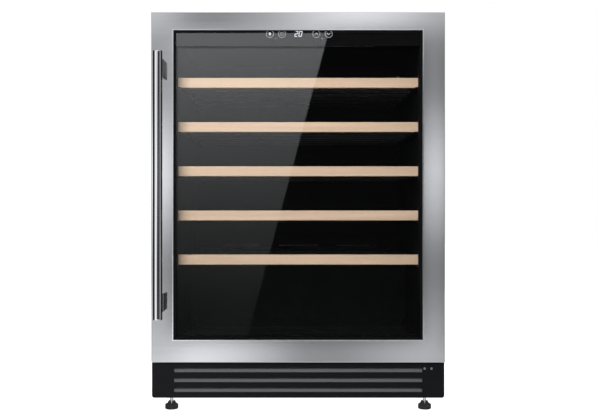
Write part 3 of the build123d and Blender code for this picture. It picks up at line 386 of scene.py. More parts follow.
def pale_lens(name):
    """Milky lens of the light bar, lit softly from within."""
    look = Finish(name)
    grain = look.noise(300.0, detail=2.0)
    diodes = look.add("ShaderNodeTexWave", Scale=1.0, Distortion=0.0)
    diodes.bands_direction = "X"
    look.join(look.place((14.0, 1.0, 1.0)), diodes.inputs["Vector"])
    look.colour_from(look.blend(diodes.outputs["Fac"], (0.20, 0.20, 0.20), (0.30, 0.30, 0.29)))
    look.roughness_from(look.span(grain, 0.3, 0.42))
    look.set(Emission_Strength=0.02)
    look.shader.inputs["Emission Color"].default_value = (1.0, 0.97, 0.92, 1.0)
    return look.material


def matt_rubber(name):
    """Black rubber with a dry bloom."""
    return two_grains(name, (90.0, 4.0), ((0.022, 0.022, 0.023), (0.05, 0.05, 0.052)),
                      (1600.0, 1.0), (0.6, 0.78), 0.00003, Specular_IOR_Level=0.3)


def beech_wood(name):
    """Steamed beech: long soft figure, short dark flecks and fine pores along the board."""
    look = Finish(name)
    figure = look.noise((2.2, 90.0, 70.0), detail=4.0, roughness=0.6, distortion=0.6)
    fleck = look.noise((95.0, 900.0, 900.0), detail=2.0)
    pores = look.noise((260.0, 2600.0, 2600.0), detail=1.0)
    beech = tuple(colours().beech)
    board = look.blend(look.span(figure, 0.0, 1.0, 0.3, 0.72), tint(beech, 0.88),
                       tint(beech, 1.1))
    flecked = look.span(fleck, 0.0, 0.45, 0.62, 0.78)
    look.colour_from(look.blend(flecked, board, tint(beech, 0.62)))
    look.roughness_from(look.span(figure, 0.42, 0.58))
    look.bump_from(look.sum(pores, fleck, 0.5), 0.00005)
    look.set(Specular_IOR_Level=0.35)
    return look.material


def rolled_aluminium(name):
    """Mill-finish aluminium with rolling lines."""
    look = Finish(name)
    lines = look.noise((12.0, 500.0, 900.0), detail=3.0)
    cloud = look.noise(18.0, detail=2.0)
    look.colour_from(look.blend(look.sum(lines, cloud), (0.60, 0.61, 0.62), (0.74, 0.75, 0.76)))
    look.roughness_from(look.span(lines, 0.3, 0.45))
    look.bump_from(lines, 0.00001)
    look.set(Metallic=1.0)
    return look.material


def foam_fill(name):
    """Cream polyurethane foam with small cells."""
    look = Finish(name)
    cells = look.cells(800.0)
    look.colour_from(look.blend(cells, (0.62, 0.54, 0.36), (0.80, 0.73, 0.53)))
    look.bump_from(cells, 0.0002)
    look.set(Roughness=0.9)
    return look.material


def clear_pane(name):
    """Float glass with a faint grey tint; lamps shine through it unbent."""
    look = Finish(name)
    waves = look.noise(3.0, detail=1.0)
    smear = look.noise((14.0, 14.0, 5.0), detail=4.0)
    look.set(Transmission_Weight=1.0, IOR=1.5)
    look.shader.inputs["Base Color"].default_value = (0.95, 0.965, 0.965, 1.0)
    look.roughness_from(look.span(smear, 0.0, 0.012, 0.5, 0.8))
    look.bump_from(waves, 0.00002, 0.3)
    path = look.add("ShaderNodeLightPath")
    clear = look.add("ShaderNodeBsdfTransparent")
    clear.inputs["Color"].default_value = (0.96, 0.97, 0.97, 1.0)
    mix = look.add("ShaderNodeMixShader")
    look.join(path.outputs["Is Shadow Ray"], mix.inputs[0])
    look.join(look.shader.outputs[0], mix.inputs[1])
    look.join(clear.outputs[0], mix.inputs[2])
    look.join(mix.outputs[0], look.output.inputs["Surface"])
    return look.material


def one_grain(name, scale, detail, low, high, **settings):
    """A fine grain between two colours, and the shader's other settings."""
    look = Finish(name)
    look.colour_from(look.blend(look.noise(scale, detail=detail), low, high))
    look.set(**settings)
    return look.material


def lit_mark(name):
    """White light of the digits, a little uneven like a diffuser."""
    glow = tuple(colours().display)
    return one_grain(name, 400.0, 1.0, tint(glow, 0.10), tint(glow, 0.16), Roughness=0.5,
                     Emission_Color=(*glow, 1.0), Emission_Strength=0.9)


def printed_mark(name):
    """Grey-white print of the key outlines."""
    return one_grain(name, 900.0, 2.0, (0.26, 0.265, 0.28), (0.42, 0.43, 0.45), Roughness=0.5,
                     Emission_Color=(0.6, 0.62, 0.66, 1.0), Emission_Strength=0.1)


def symbol_mark(name):
    """Brighter grey-white print of the key symbols."""
    return one_grain(name, 900.0, 2.0, (0.28, 0.285, 0.30), (0.40, 0.41, 0.43), Roughness=0.5,
                     Emission_Color=(0.75, 0.77, 0.8, 1.0), Emission_Strength=0.16)


def seal_bead(name):
    """Dead black bead that closes the gap between the steel and the glass."""
    return two_grains(name, (700.0, 1.0), ((0.0016, 0.0016, 0.0018), (0.003, 0.003, 0.0032)),
                      (700.0, 1.0), (0.8, 0.95), 0.00003, Specular_IOR_Level=0.08)


def enamel_print(name):
    """Black enamel fired on the back of the outer pane, with pinholes too fine to see through."""
    return one_grain(name, 1800.0, 2.0, (0.002, 0.002, 0.0022), (0.006, 0.006, 0.0065),
                     Roughness=0.9, Specular_IOR_Level=0.05)


def gloss_film(name):
    """Glossy black film behind the touch keys, as bright in reflection as the double pane."""
    return one_grain(name, 300.0, 2.0, (0.002, 0.002, 0.0022), (0.004, 0.004, 0.0044),
                     Roughness=0.0, IOR=FILM_INDEX)


FILM_INDEX = 1.94  # one face of the film gives back what the double pane's four do
POST_SHADE_X_SPAN = np.array([0.0065, 0.0002])  # where the painted shade on the post clears, in from its right side
POST_SHADE_Y_SPAN = np.array([0.03425, 0.00525])  # where the painted shade clears, out from the door's face
SLOT_FINISH = {
    "stainless": ("stainless_brushed", brushed_steel),
    "chrome": ("bar_polished", polished_bar_painted_rim),
    "zinc_steel": ("zinc_plated", zinc_plate),
    "black_steel": ("powder_coated", powder_coat),
    "dark_steel": ("shelf_coated", dark_wire_coat),
    "black_plastic": ("black_moulded", black_moulding),
    "grey_plastic": ("grey_moulded", grey_moulding_and_painted_light),
    "light_plastic": ("lens_milky", pale_lens),
    "glass": ("pane_clear", clear_pane),
    "rubber": ("rubber_matt", matt_rubber),
    "beech": ("beech_board", beech_wood),
    "aluminium": ("aluminium_rolled", rolled_aluminium),
    "foam": ("foam_cells", foam_fill),
}
NODE_FINISH = {
    "handle_posts": ("post_satin", satin_steel_painted_shade),
    "door_core": ("black_moulded", black_moulding),
    "glass_spacer": ("enamel_black", enamel_print),
    "touch_control": ("enamel_black", enamel_print),
}


# ---- surfaces ------------------------------------------------------------------------------
def grid_surface(points, wrap_u=True, wrap_v=False, capped=True):
    """Vertices and faces of a grid P[i, j].

    Face (i, j) joins P[i, j], P[i+1, j], P[i+1, j+1] and P[i, j+1]; a wrapped way joins its
    last row to its first. Capped ends are one polygon each round u on the first and last v,
    or round v on the first and last u where v is the wrapped way.
    """
    count_u, count_v = points.shape[:2]
    rows = np.arange(count_u if wrap_u else count_u - 1)
    columns = np.arange(count_v if wrap_v else count_v - 1)
    i, j = np.meshgrid(rows, columns, indexing="ij")
    next_i = (i + 1) % count_u
    next_j = (j + 1) % count_v
    quads = np.stack([i * count_v + j, next_i * count_v + j, next_i * count_v + next_j,
                      i * count_v + next_j], axis=-1).reshape(-1, 4).tolist()
    if capped and wrap_u and not wrap_v:
        ring = np.arange(count_u) * count_v
        quads += [ring[::-1].tolist(), (ring + count_v - 1).tolist()]
    if capped and wrap_v and not wrap_u:
        ring = np.arange(count_v)
        quads += [ring.tolist(), (ring + (count_u - 1) * count_v)[::-1].tolist()]
    return points.reshape(-1, 3), quads


def combined(parts):
    """Several (vertices, faces) pairs as one."""
    vertices = np.concatenate([points for points, _ in parts])
    faces = []
    start = 0
    for points, polygons in parts:
        faces += [[index + start for index in polygon] for polygon in polygons]
        start += len(points)
    return vertices, faces


def placed(name, data):
    """A new object that holds the data, in the scene."""
    thing = bpy.data.objects.new(name, data)
    bpy.context.scene.collection.objects.link(thing)
    return thing


def mesh_of(name, vertices, faces):
    """A mesh from an array of points and a list of faces."""
    mesh = bpy.data.meshes.new(name)
    mesh.from_pydata(vertices.tolist(), [], faces)
    return mesh


def make_piece(name, parts, body, look, replaced=(), crease=35.0):
    """A piece from (vertices, faces) pairs, closed, facing outwards and riding on a body."""
    mesh = mesh_of(name, *combined(parts))
    shape = bmesh.new()
    shape.from_mesh(mesh)
    bmesh.ops.remove_doubles(shape, verts=shape.verts, dist=1e-7)
    bmesh.ops.recalc_face_normals(shape, faces=shape.faces)
    shape.to_mesh(mesh)
    shape.free()
    mesh.shade_smooth()
    mesh.set_sharp_from_angle(angle=math.radians(crease))
    mesh.materials.append(finish(*look))
    piece = placed(name, mesh)
    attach(piece, body)
    if replaced:
        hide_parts(*replaced)
    return piece


def lathe(radii, heights, centre, segments=96, shape=None, ring=False):
    """A turned form about a vertical axis.

    P(t, k) = centre + (r cos t, r sin t, h), where r and h come from the profile's point k,
    or from shape(t, r, h) where the form isn't the same all round. A ring's profile closes.
    """
    angles = np.linspace(0, 2 * np.pi, segments, endpoint=False)
    t, r = np.meshgrid(angles, np.asarray(radii, float), indexing="ij")
    h = np.broadcast_to(np.asarray(heights, float), t.shape)
    if shape is not None:
        r, h = shape(t, r, h)
    points = np.stack([centre[0] + r * np.cos(t), centre[1] + r * np.sin(t), centre[2] + h],
                      axis=-1)
    return grid_surface(points, wrap_v=ring)


def screw_head(x, seat, z, radius, height):
    """A pan head with a cross recess, its back on a seat, facing the front.

    Over the disc of radius R the front stands at height x (1 - (r / R)^2.6)^0.5, less the
    recess, which is deepest in the middle and runs out along both arms of a cross.
    """
    angles = np.linspace(0, 2 * np.pi, 64, endpoint=False)
    share = np.linspace(1.0, 0.02, 18)
    t, r = np.meshgrid(angles, share, indexing="ij")
    across, up = np.abs(r * np.cos(t)), np.abs(r * np.sin(t))
    narrow, long = np.minimum(across, up), np.maximum(across, up)
    arm = np.clip((0.13 - narrow) / 0.05, 0, 1) * np.clip((0.62 - long) / 0.12, 0, 1)
    front = height * np.sqrt(np.clip(1 - r ** 2.6, 0, 1)) - 0.6 * height * arm
    points = np.stack([x + radius * r * np.cos(t), seat - front, z + radius * r * np.sin(t)],
                      axis=-1)
    return grid_surface(points)


def soft_step(value, start, end):
    """A smooth rise from 0 to 1 between start and end: s^2 (3 - 2 s)."""
    share = np.clip((value - start) / (end - start), 0, 1)
    return share ** 2 * (3 - 2 * share)


def fade(value, stops):
    """The brightness at value, straight between (place, brightness) stops."""
    return np.interp(value, *np.transpose(stops))


def rounded_profile(width, depth, radius, steps=6):
    """A rectangle with round corners, width across and depth away, as (u, v) points.

    Corner k turns from k to k + 1 quarter turns about its own centre.
    """
    quarter = np.linspace(0, np.pi / 2, steps)
    centres = np.array([[1, 1], [-1, 1], [-1, -1], [1, -1]]) * [width / 2 - radius,
                                                              depth / 2 - radius]
    angles = quarter[None, :] + np.arange(4)[:, None] * np.pi / 2
    turn = np.stack([np.cos(angles), np.sin(angles)], axis=-1) * radius
    return (centres[:, None, :] + turn).reshape(-1, 2)


def framed(low_x, high_x, low_z, high_z, profile):
    """A profile carried round a rectangle that stands across the cooler.

    At each corner the profile's u leaves the rectangle outwards along the diagonal and its
    v is the depth y, so P = corner + u (sx, 0, sz) + (0, v, 0) with sx and sz plus or minus 1.
    """
    corners = np.array([[low_x, low_z, -1, -1], [high_x, low_z, 1, -1],
                        [high_x, high_z, 1, 1], [low_x, high_z, -1, 1]])
    u = profile[None, :, 0]
    x = corners[:, 0:1] + u * corners[:, 2:3]
    z = corners[:, 1:2] + u * corners[:, 3:4]
    y = np.broadcast_to(profile[None, :, 1], x.shape)
    return grid_surface(np.stack([x, y, z], axis=-1), wrap_u=True, wrap_v=True)


def stroke(path, width, front, back, closed=False):
    """A flat line of even width in the plane of the door.

    Each path point p gives p + n w / 2 and p - n w / 2 at the front and at the back, where
    n is the path's normal there, lengthened at a corner so that the line keeps its width.
    """
    path = np.asarray(path, float)
    ahead = np.roll(path, -1, axis=0) - path
    behind = path - np.roll(path, 1, axis=0)
    if not closed:
        ahead[-1] = behind[-1]
        behind[0] = ahead[0]
    ahead /= np.linalg.norm(ahead, axis=1, keepdims=True)
    behind /= np.linalg.norm(behind, axis=1, keepdims=True)
    normals = np.stack([-(ahead + behind)[:, 1], (ahead + behind)[:, 0]], axis=-1)
    normals /= np.linalg.norm(normals, axis=1, keepdims=True)
    straight = np.stack([-ahead[:, 1], ahead[:, 0]], axis=-1)
    stretch = np.clip(np.sum(normals * straight, axis=1, keepdims=True), 0.4, 1.0)
    offset = normals / stretch * width / 2
    sides = [path + offset, path - offset, path - offset, path + offset]
    depths = [front, front, back, back]
    points = np.stack([np.stack([side[:, 0], np.full(len(path), depth), side[:, 1]], axis=-1)
                       for side, depth in zip(sides, depths)], axis=1)
    return grid_surface(points, wrap_u=closed, wrap_v=True)


def polygon_path(x, z, radius, sides, turn=0.0):
    """Corners of a regular polygon about (x, z)."""
    angles = turn + np.arange(sides) * 2 * np.pi / sides
    return np.stack([x + radius * np.cos(angles), z + radius * np.sin(angles)], axis=-1)


def flat_plate(outline, front, back):
    """A thin plate in the plane of the door with the given (x, z) outline."""
    outline = np.asarray(outline, float)
    points = np.stack([np.stack([outline[:, 0], np.full(len(outline), depth), outline[:, 1]],
                                axis=-1) for depth in (front, back)], axis=1)
    return grid_surface(points)


# ---- operators --------------------------------------------------------------------------------
class COOLER_OT_finishes(bpy.types.Operator):
    """Give every CAD node its finish"""

    bl_idname = "cooler.finishes"
    bl_label = "Finishes"

    def execute(self, context):
        for name, node in frame["nodes"].items():
            look = NODE_FINISH.get(name) or SLOT_FINISH[SLOT_OF[name]]
            node.data.materials.clear()
            node.data.materials.append(finish(*look))
        return {"FINISHED"}


class COOLER_OT_handle(bpy.types.Operator):
    """Make the polished handle bar with rounded end edges"""

    bl_idname = "cooler.handle"
    bl_label = "Handle bar"

    def execute(self, context):
        low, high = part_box("handle_bar")
        radius = (high.x - low.x) / 2 - TUBE_SHY
        edge = sizes().edge_round
        turn = np.linspace(0, np.pi / 2, 6)
        round_in = radius - edge + edge * np.sin(turn)
        round_up = edge - edge * np.cos(turn)
        length = high.z - low.z
        radii = np.concatenate([round_in, [radius, radius], round_in[::-1]])
        heights = np.concatenate([round_up, [3 * edge, length - 3 * edge], length - round_up[::-1]])
        centre = ((low.x + high.x) / 2, (low.y + high.y) / 2, low.z)
        bar = lathe(radii, heights, centre, segments=128)
        tube = make_piece("handle_tube", [bar], "door", SLOT_FINISH["chrome"],
                          ["handle_bar"])
        tube.visible_glossy = False
        frame["nodes"]["handle_posts"].visible_glossy = False
        return {"FINISHED"}


TUBE_SHY = 0.00003  # keeps the round tube inside the box of the flat-sided one


class COOLER_OT_glass_edge(bpy.types.Operator):
    """Make the rolled edge of the steel, the bead behind it and the glass's black border"""

    bl_idname = "cooler.glass_edge"
    bl_label = "Glass edge"

    def execute(self, context):
        low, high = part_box("outer_glass")
        skin_low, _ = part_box("door_skin")
        _, inner_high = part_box("inner_glass")
        face = skin_low.y
        lap = OUTER_OVERLAP
        opening = (low.x + lap, high.x - lap, low.z + lap, high.z - lap)
        hem = rounded_profile(HEM_WIDTH, HEM_DEPTH, HEM_DEPTH * 0.45)
        hem += [HEM_WIDTH / 2, face + HEM_DEPTH / 2 - HEM_RISE]
        make_piece("door_hem", [framed(*opening, hem)], "door", ("hem_bright", rolled_hem_painted_highlight),
                   crease=60.0)
        bead_depth = low.y - face - SEAL_RECESS
        bead = rounded_profile(SEAL_BEAD, bead_depth, SEAL_BEAD * 0.4)
        bead += [-SEAL_BEAD / 2, low.y - bead_depth / 2]
        make_piece("glass_seal", [framed(*opening, bead)], "door", ("seal_black", seal_bead),
                   crease=50.0)
        width = sizes().seal_width
        thick = sizes().print_thickness * 0.3
        border = rounded_profile(width, thick, thick * 0.4, steps=2)
        border += [-width / 2, low.y - thick / 2]
        back = high.y - sizes().print_thickness
        strip_low = inner_high.z - FILM_LAP
        strip = flat_plate([(low.x, strip_low), (high.x, strip_low), (high.x, high.z),
                            (low.x, high.z)], back, back + sizes().print_thickness / 2)
        make_piece("glass_border", [framed(*opening, border)], "door",
                   ("enamel_black", enamel_print))
        make_piece("glass_print", [strip], "door", ("film_gloss", gloss_film))
        return {"FINISHED"}


OUTER_OVERLAP = 0.010  # pane beyond the door's opening
FILM_LAP = 0.0124  # film below the inner pane's top edge, over the spacer
SEAL_RECESS = 0.0015  # door face to the front of the seal
SEAL_BEAD = 0.0013
HEM_WIDTH = 0.0024
HEM_DEPTH = 0.0012
HEM_RISE = 0.00025


class COOLER_OT_touch_keys(bpy.types.Operator):
    """Make the touch keys' outlines, their symbols and the two lit digits"""

    bl_idname = "cooler.touch_keys"
    bl_label = "Touch keys"

    def execute(self, context):
        low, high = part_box("touch_control")
        glass_low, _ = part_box("outer_glass")
        middle = (low.z + high.z) / 2
        thick = sizes().print_thickness
        front = glass_low.y - thick
        back = glass_low.y - thick * 0.1
        line = sizes().key_line
        radius = sizes().key_size / 2
        outlines = [stroke(polygon_path(x, middle, radius, 8, np.pi / 8), line, front, back,
                           closed=True) for x in KEY_PLACES.values()]
        under = middle - radius * 1.28
        dashes = [stroke([(x - reach, under), (x + reach, under)], line, front, back)
                  for x, reach in KEY_DASHES]
        make_piece("key_outlines", outlines + dashes, "door", ("key_print", printed_mark))
        bold = line * 1.5
        x = KEY_PLACES["lamp"]
        bulb = flat_plate(polygon_path(x, middle + 0.0004, 0.0026, 16), front, back)
        cap = stroke([(x - 0.0014, middle - 0.0030), (x + 0.0014, middle - 0.0030)], bold,
                     front, back)
        x = KEY_PLACES["mode"]
        mode = stroke(polygon_path(x, middle, 0.0034, 5, np.pi / 2), line, front, back, True)
        chevrons = [stroke([(KEY_PLACES[name] - 0.0034, middle - rise),
                            (KEY_PLACES[name], middle + rise),
                            (KEY_PLACES[name] + 0.0034, middle - rise)], bold, front, back)
                    for name, rise in (("up", 0.0018), ("down", -0.0018))]
        make_piece("key_symbols", [bulb, cap, mode, *chevrons], "door",
                   ("symbol_print", symbol_mark))
        make_piece("lit_digits", self.digits(middle, front, back), "door",
                   ("marks_lit", lit_mark))
        return {"FINISHED"}

    def digits(self, middle, front, back):
        """A two and a nought from straight segments, leaning to the right."""
        height = sizes().digit_height
        width = height * DIGIT_WIDTH
        bar = height * DIGIT_BAR
        parts = []
        for left, segments in DIGITS:
            for segment in segments:
                ends = np.array(SEGMENTS[segment], float)
                points = np.stack([left + ends[:, 0] * width,
                                   middle + (ends[:, 1] - 0.5) * (height - bar)], axis=-1)
                along = points[1] - points[0]
                along /= np.linalg.norm(along)
                points[0] += along * bar * 0.1
                points[1] -= along * bar * 0.1
                points[:, 0] += (points[:, 1] - middle) * DIGIT_LEAN
                parts.append(stroke(points, bar, front, back))
        return parts


KEY_PLACES = {"lamp": -0.0573, "mode": -0.0328, "up": 0.0370, "down": 0.0619}
KEY_DASHES = ((-0.0452, 0.0010), (0.0492, 0.0022))  # middle and half length
SEGMENTS = {"a": [(0, 1), (1, 1)], "b": [(1, 1), (1, 0.5)], "c": [(1, 0.5), (1, 0)],
            "d": [(1, 0), (0, 0)], "e": [(0, 0), (0, 0.5)], "f": [(0, 0.5), (0, 1)],
            "g": [(0, 0.5), (1, 0.5)]}
DIGITS = ((-0.0060, "abged"), (0.0022, "abcdef"))  # left side and lit segments
DIGIT_WIDTH = 0.44  # of the digit's height, like the bar
DIGIT_BAR = 0.11
DIGIT_LEAN = 0.2


class COOLER_OT_feet(bpy.types.Operator):
    """Make the levelling feet: a ribbed pad, a notched collar and a threaded stud"""

    bl_idname = "cooler.feet"
    bl_label = "Feet"

    def execute(self, context):
        pitch = sizes().thread_pitch
        for name in FEET:
            low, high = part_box(name)
            centre = ((low.x + high.x) / 2, (low.y + high.y) / 2, 0.0)
            radius = (high.x - low.x) / 2

            def ribs(t, r, h):
                """Eighteen shallow flutes round the pad's rim, none at its floor or top."""
                band = np.clip(h / 0.002, 0, 1) * np.clip((0.0095 - h) / 0.001, 0, 1)
                return r * (1 - FLUTE_DEPTH * (0.5 - 0.5 * np.cos(18 * t)) * band), h

            pad_share, pad_height = np.transpose(PAD_PROFILE)
            pad = lathe(pad_share * radius, pad_height, centre, 144, ribs)

            def slots(t, r, h):
                """Four slots at the quarters: there the crown's top sinks to the slot's floor."""
                off = np.abs(np.mod(t + np.pi / 4, np.pi / 2) - np.pi / 4)
                open_share = np.clip((0.46 - off) / 0.16, 0, 1)
                return r, h - open_share * np.clip(h - SLOT_FLOOR, 0, None)

            crown = lathe(*np.transpose(CROWN_PROFILE), centre, 96, slots, ring=True)
            make_piece(f"{name}_pad", [pad, crown], f"foot_{name[:-5]}",
                       SLOT_FINISH["rubber"], [name], crease=28.0)
            steps = int((high.z - FOOT_STUD_LOW) / pitch * 6)
            heights = np.linspace(FOOT_STUD_LOW, high.z, steps)

            def thread(t, r, h):
                """A triangular thread: the phase is height over pitch less turn."""
                phase = np.mod(h / pitch - t / (2 * np.pi), 1.0)
                return r * (1 - 0.07 * np.abs(2 * phase - 1)), h

            stud = lathe(np.full(steps, FOOT_STUD_RADIUS), heights, centre, 24, thread)
            make_piece(f"{name}_stud", [stud], f"foot_{name[:-5]}",
                       ("stud_bright", bright_stud), crease=60.0)
        return {"FINISHED"}


PAD_PROFILE = ((0.001, 0.0), (0.86, 0.0), (0.94, 0.0006), (0.99, 0.0018), (0.99, 0.0084),
               (0.95, 0.0098), (0.88, 0.0106), (0.78, 0.0110), (0.30, 0.0110))  # share, height
CROWN_PROFILE = ((0.0112, 0.0106), (0.0104, 0.0114), (0.0092, 0.0132), (0.0082, 0.0150),
                 (0.0076, 0.0165), (0.0070, 0.0170), (0.0058, 0.0170), (0.0050, 0.0164),
                 (0.0048, 0.0120), (0.0048, 0.0106))  # radius, height
FLUTE_DEPTH = 0.03  # of the pad's radius
SLOT_FLOOR = 0.0118
FOOT_STUD_LOW = 0.0112
FOOT_STUD_RADIUS = 0.004


class COOLER_OT_gasket(bpy.types.Operator):
    """Make the bellows gasket between the door and the cabinet"""

    bl_idname = "cooler.gasket"
    bl_label = "Door gasket"

    def execute(self, context):
        low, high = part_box("door_gasket")
        _, core_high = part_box("door_core")
        door_back = core_high.y
        half = GASKET_WIDTH / 2
        thickness = high.y - door_back
        middle = [low.x + half, high.x - half, low.z + half, high.z - half]
        # one side of the bellows, from the dart over the folds to the magnet chamber
        side = np.array([(0.0008, -0.0042), (0.0016, -0.0030), (0.0009, -0.0020),
                         (0.0012, -0.0002), (half - 0.0018, 0.0), (half - 0.0014, 0.0006),
                         (half - 0.0022, 0.0012), (half - 0.0038, 0.0019),
                         (half - 0.0036, 0.0026), (half - 0.0012, 0.0031),
                         (half - 0.0002, 0.0038), (half, 0.0050),
                         (half - 0.0003, thickness - 0.0008), (half - 0.0014, thickness)])
        profile = np.concatenate([side, side[::-1] * [-1, 1]])
        profile[:, 1] += door_back
        gasket = framed(*middle, profile)
        make_piece("gasket_bellows", [gasket], "door", SLOT_FINISH["rubber"],
                   ["door_gasket"], crease=60.0)
        return {"FINISHED"}


GASKET_WIDTH = 0.013


class COOLER_OT_screws(bpy.types.Operator):
    """Make the hinge screws and the plinth's two screws with cross recesses"""

    bl_idname = "cooler.screws"
    bl_label = "Screws"

    def execute(self, context):
        heads = []
        for bracket in ("upper_hinge_bracket", "lower_hinge_bracket"):
            low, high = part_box(bracket)
            x = (low.x + high.x) / 2
            for share in HINGE_SCREWS:
                z = low.z + (high.z - low.z) * share
                heads.append(screw_head(x, high.y - HINGE_PLATE, z, *HINGE_HEAD))
        make_piece("hinge_screw_heads", heads, "cabinet", SLOT_FINISH["zinc_steel"],
                   ["cabinet_screws"], crease=40.0)
        low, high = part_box("kick_plate")
        plinth = [screw_head(x, low.y, high.z - KICK_SCREW_DROP, *KICK_HEAD)
                  for x in KICK_SCREWS]
        make_piece("kick_screw_heads", plinth, "cabinet", ("screw_black", black_oxide),
                   crease=40.0)
        return {"FINISHED"}


HINGE_PLATE = 0.003
HINGE_SCREWS = (0.22, 0.68)  # shares of the bracket's height
HINGE_HEAD = (0.004, 0.0022)  # radius and height
KICK_SCREWS = (0.2575, 0.2715)
KICK_SCREW_DROP = 0.012  # below the plinth's top edge
KICK_HEAD = (0.0026, 0.0013)


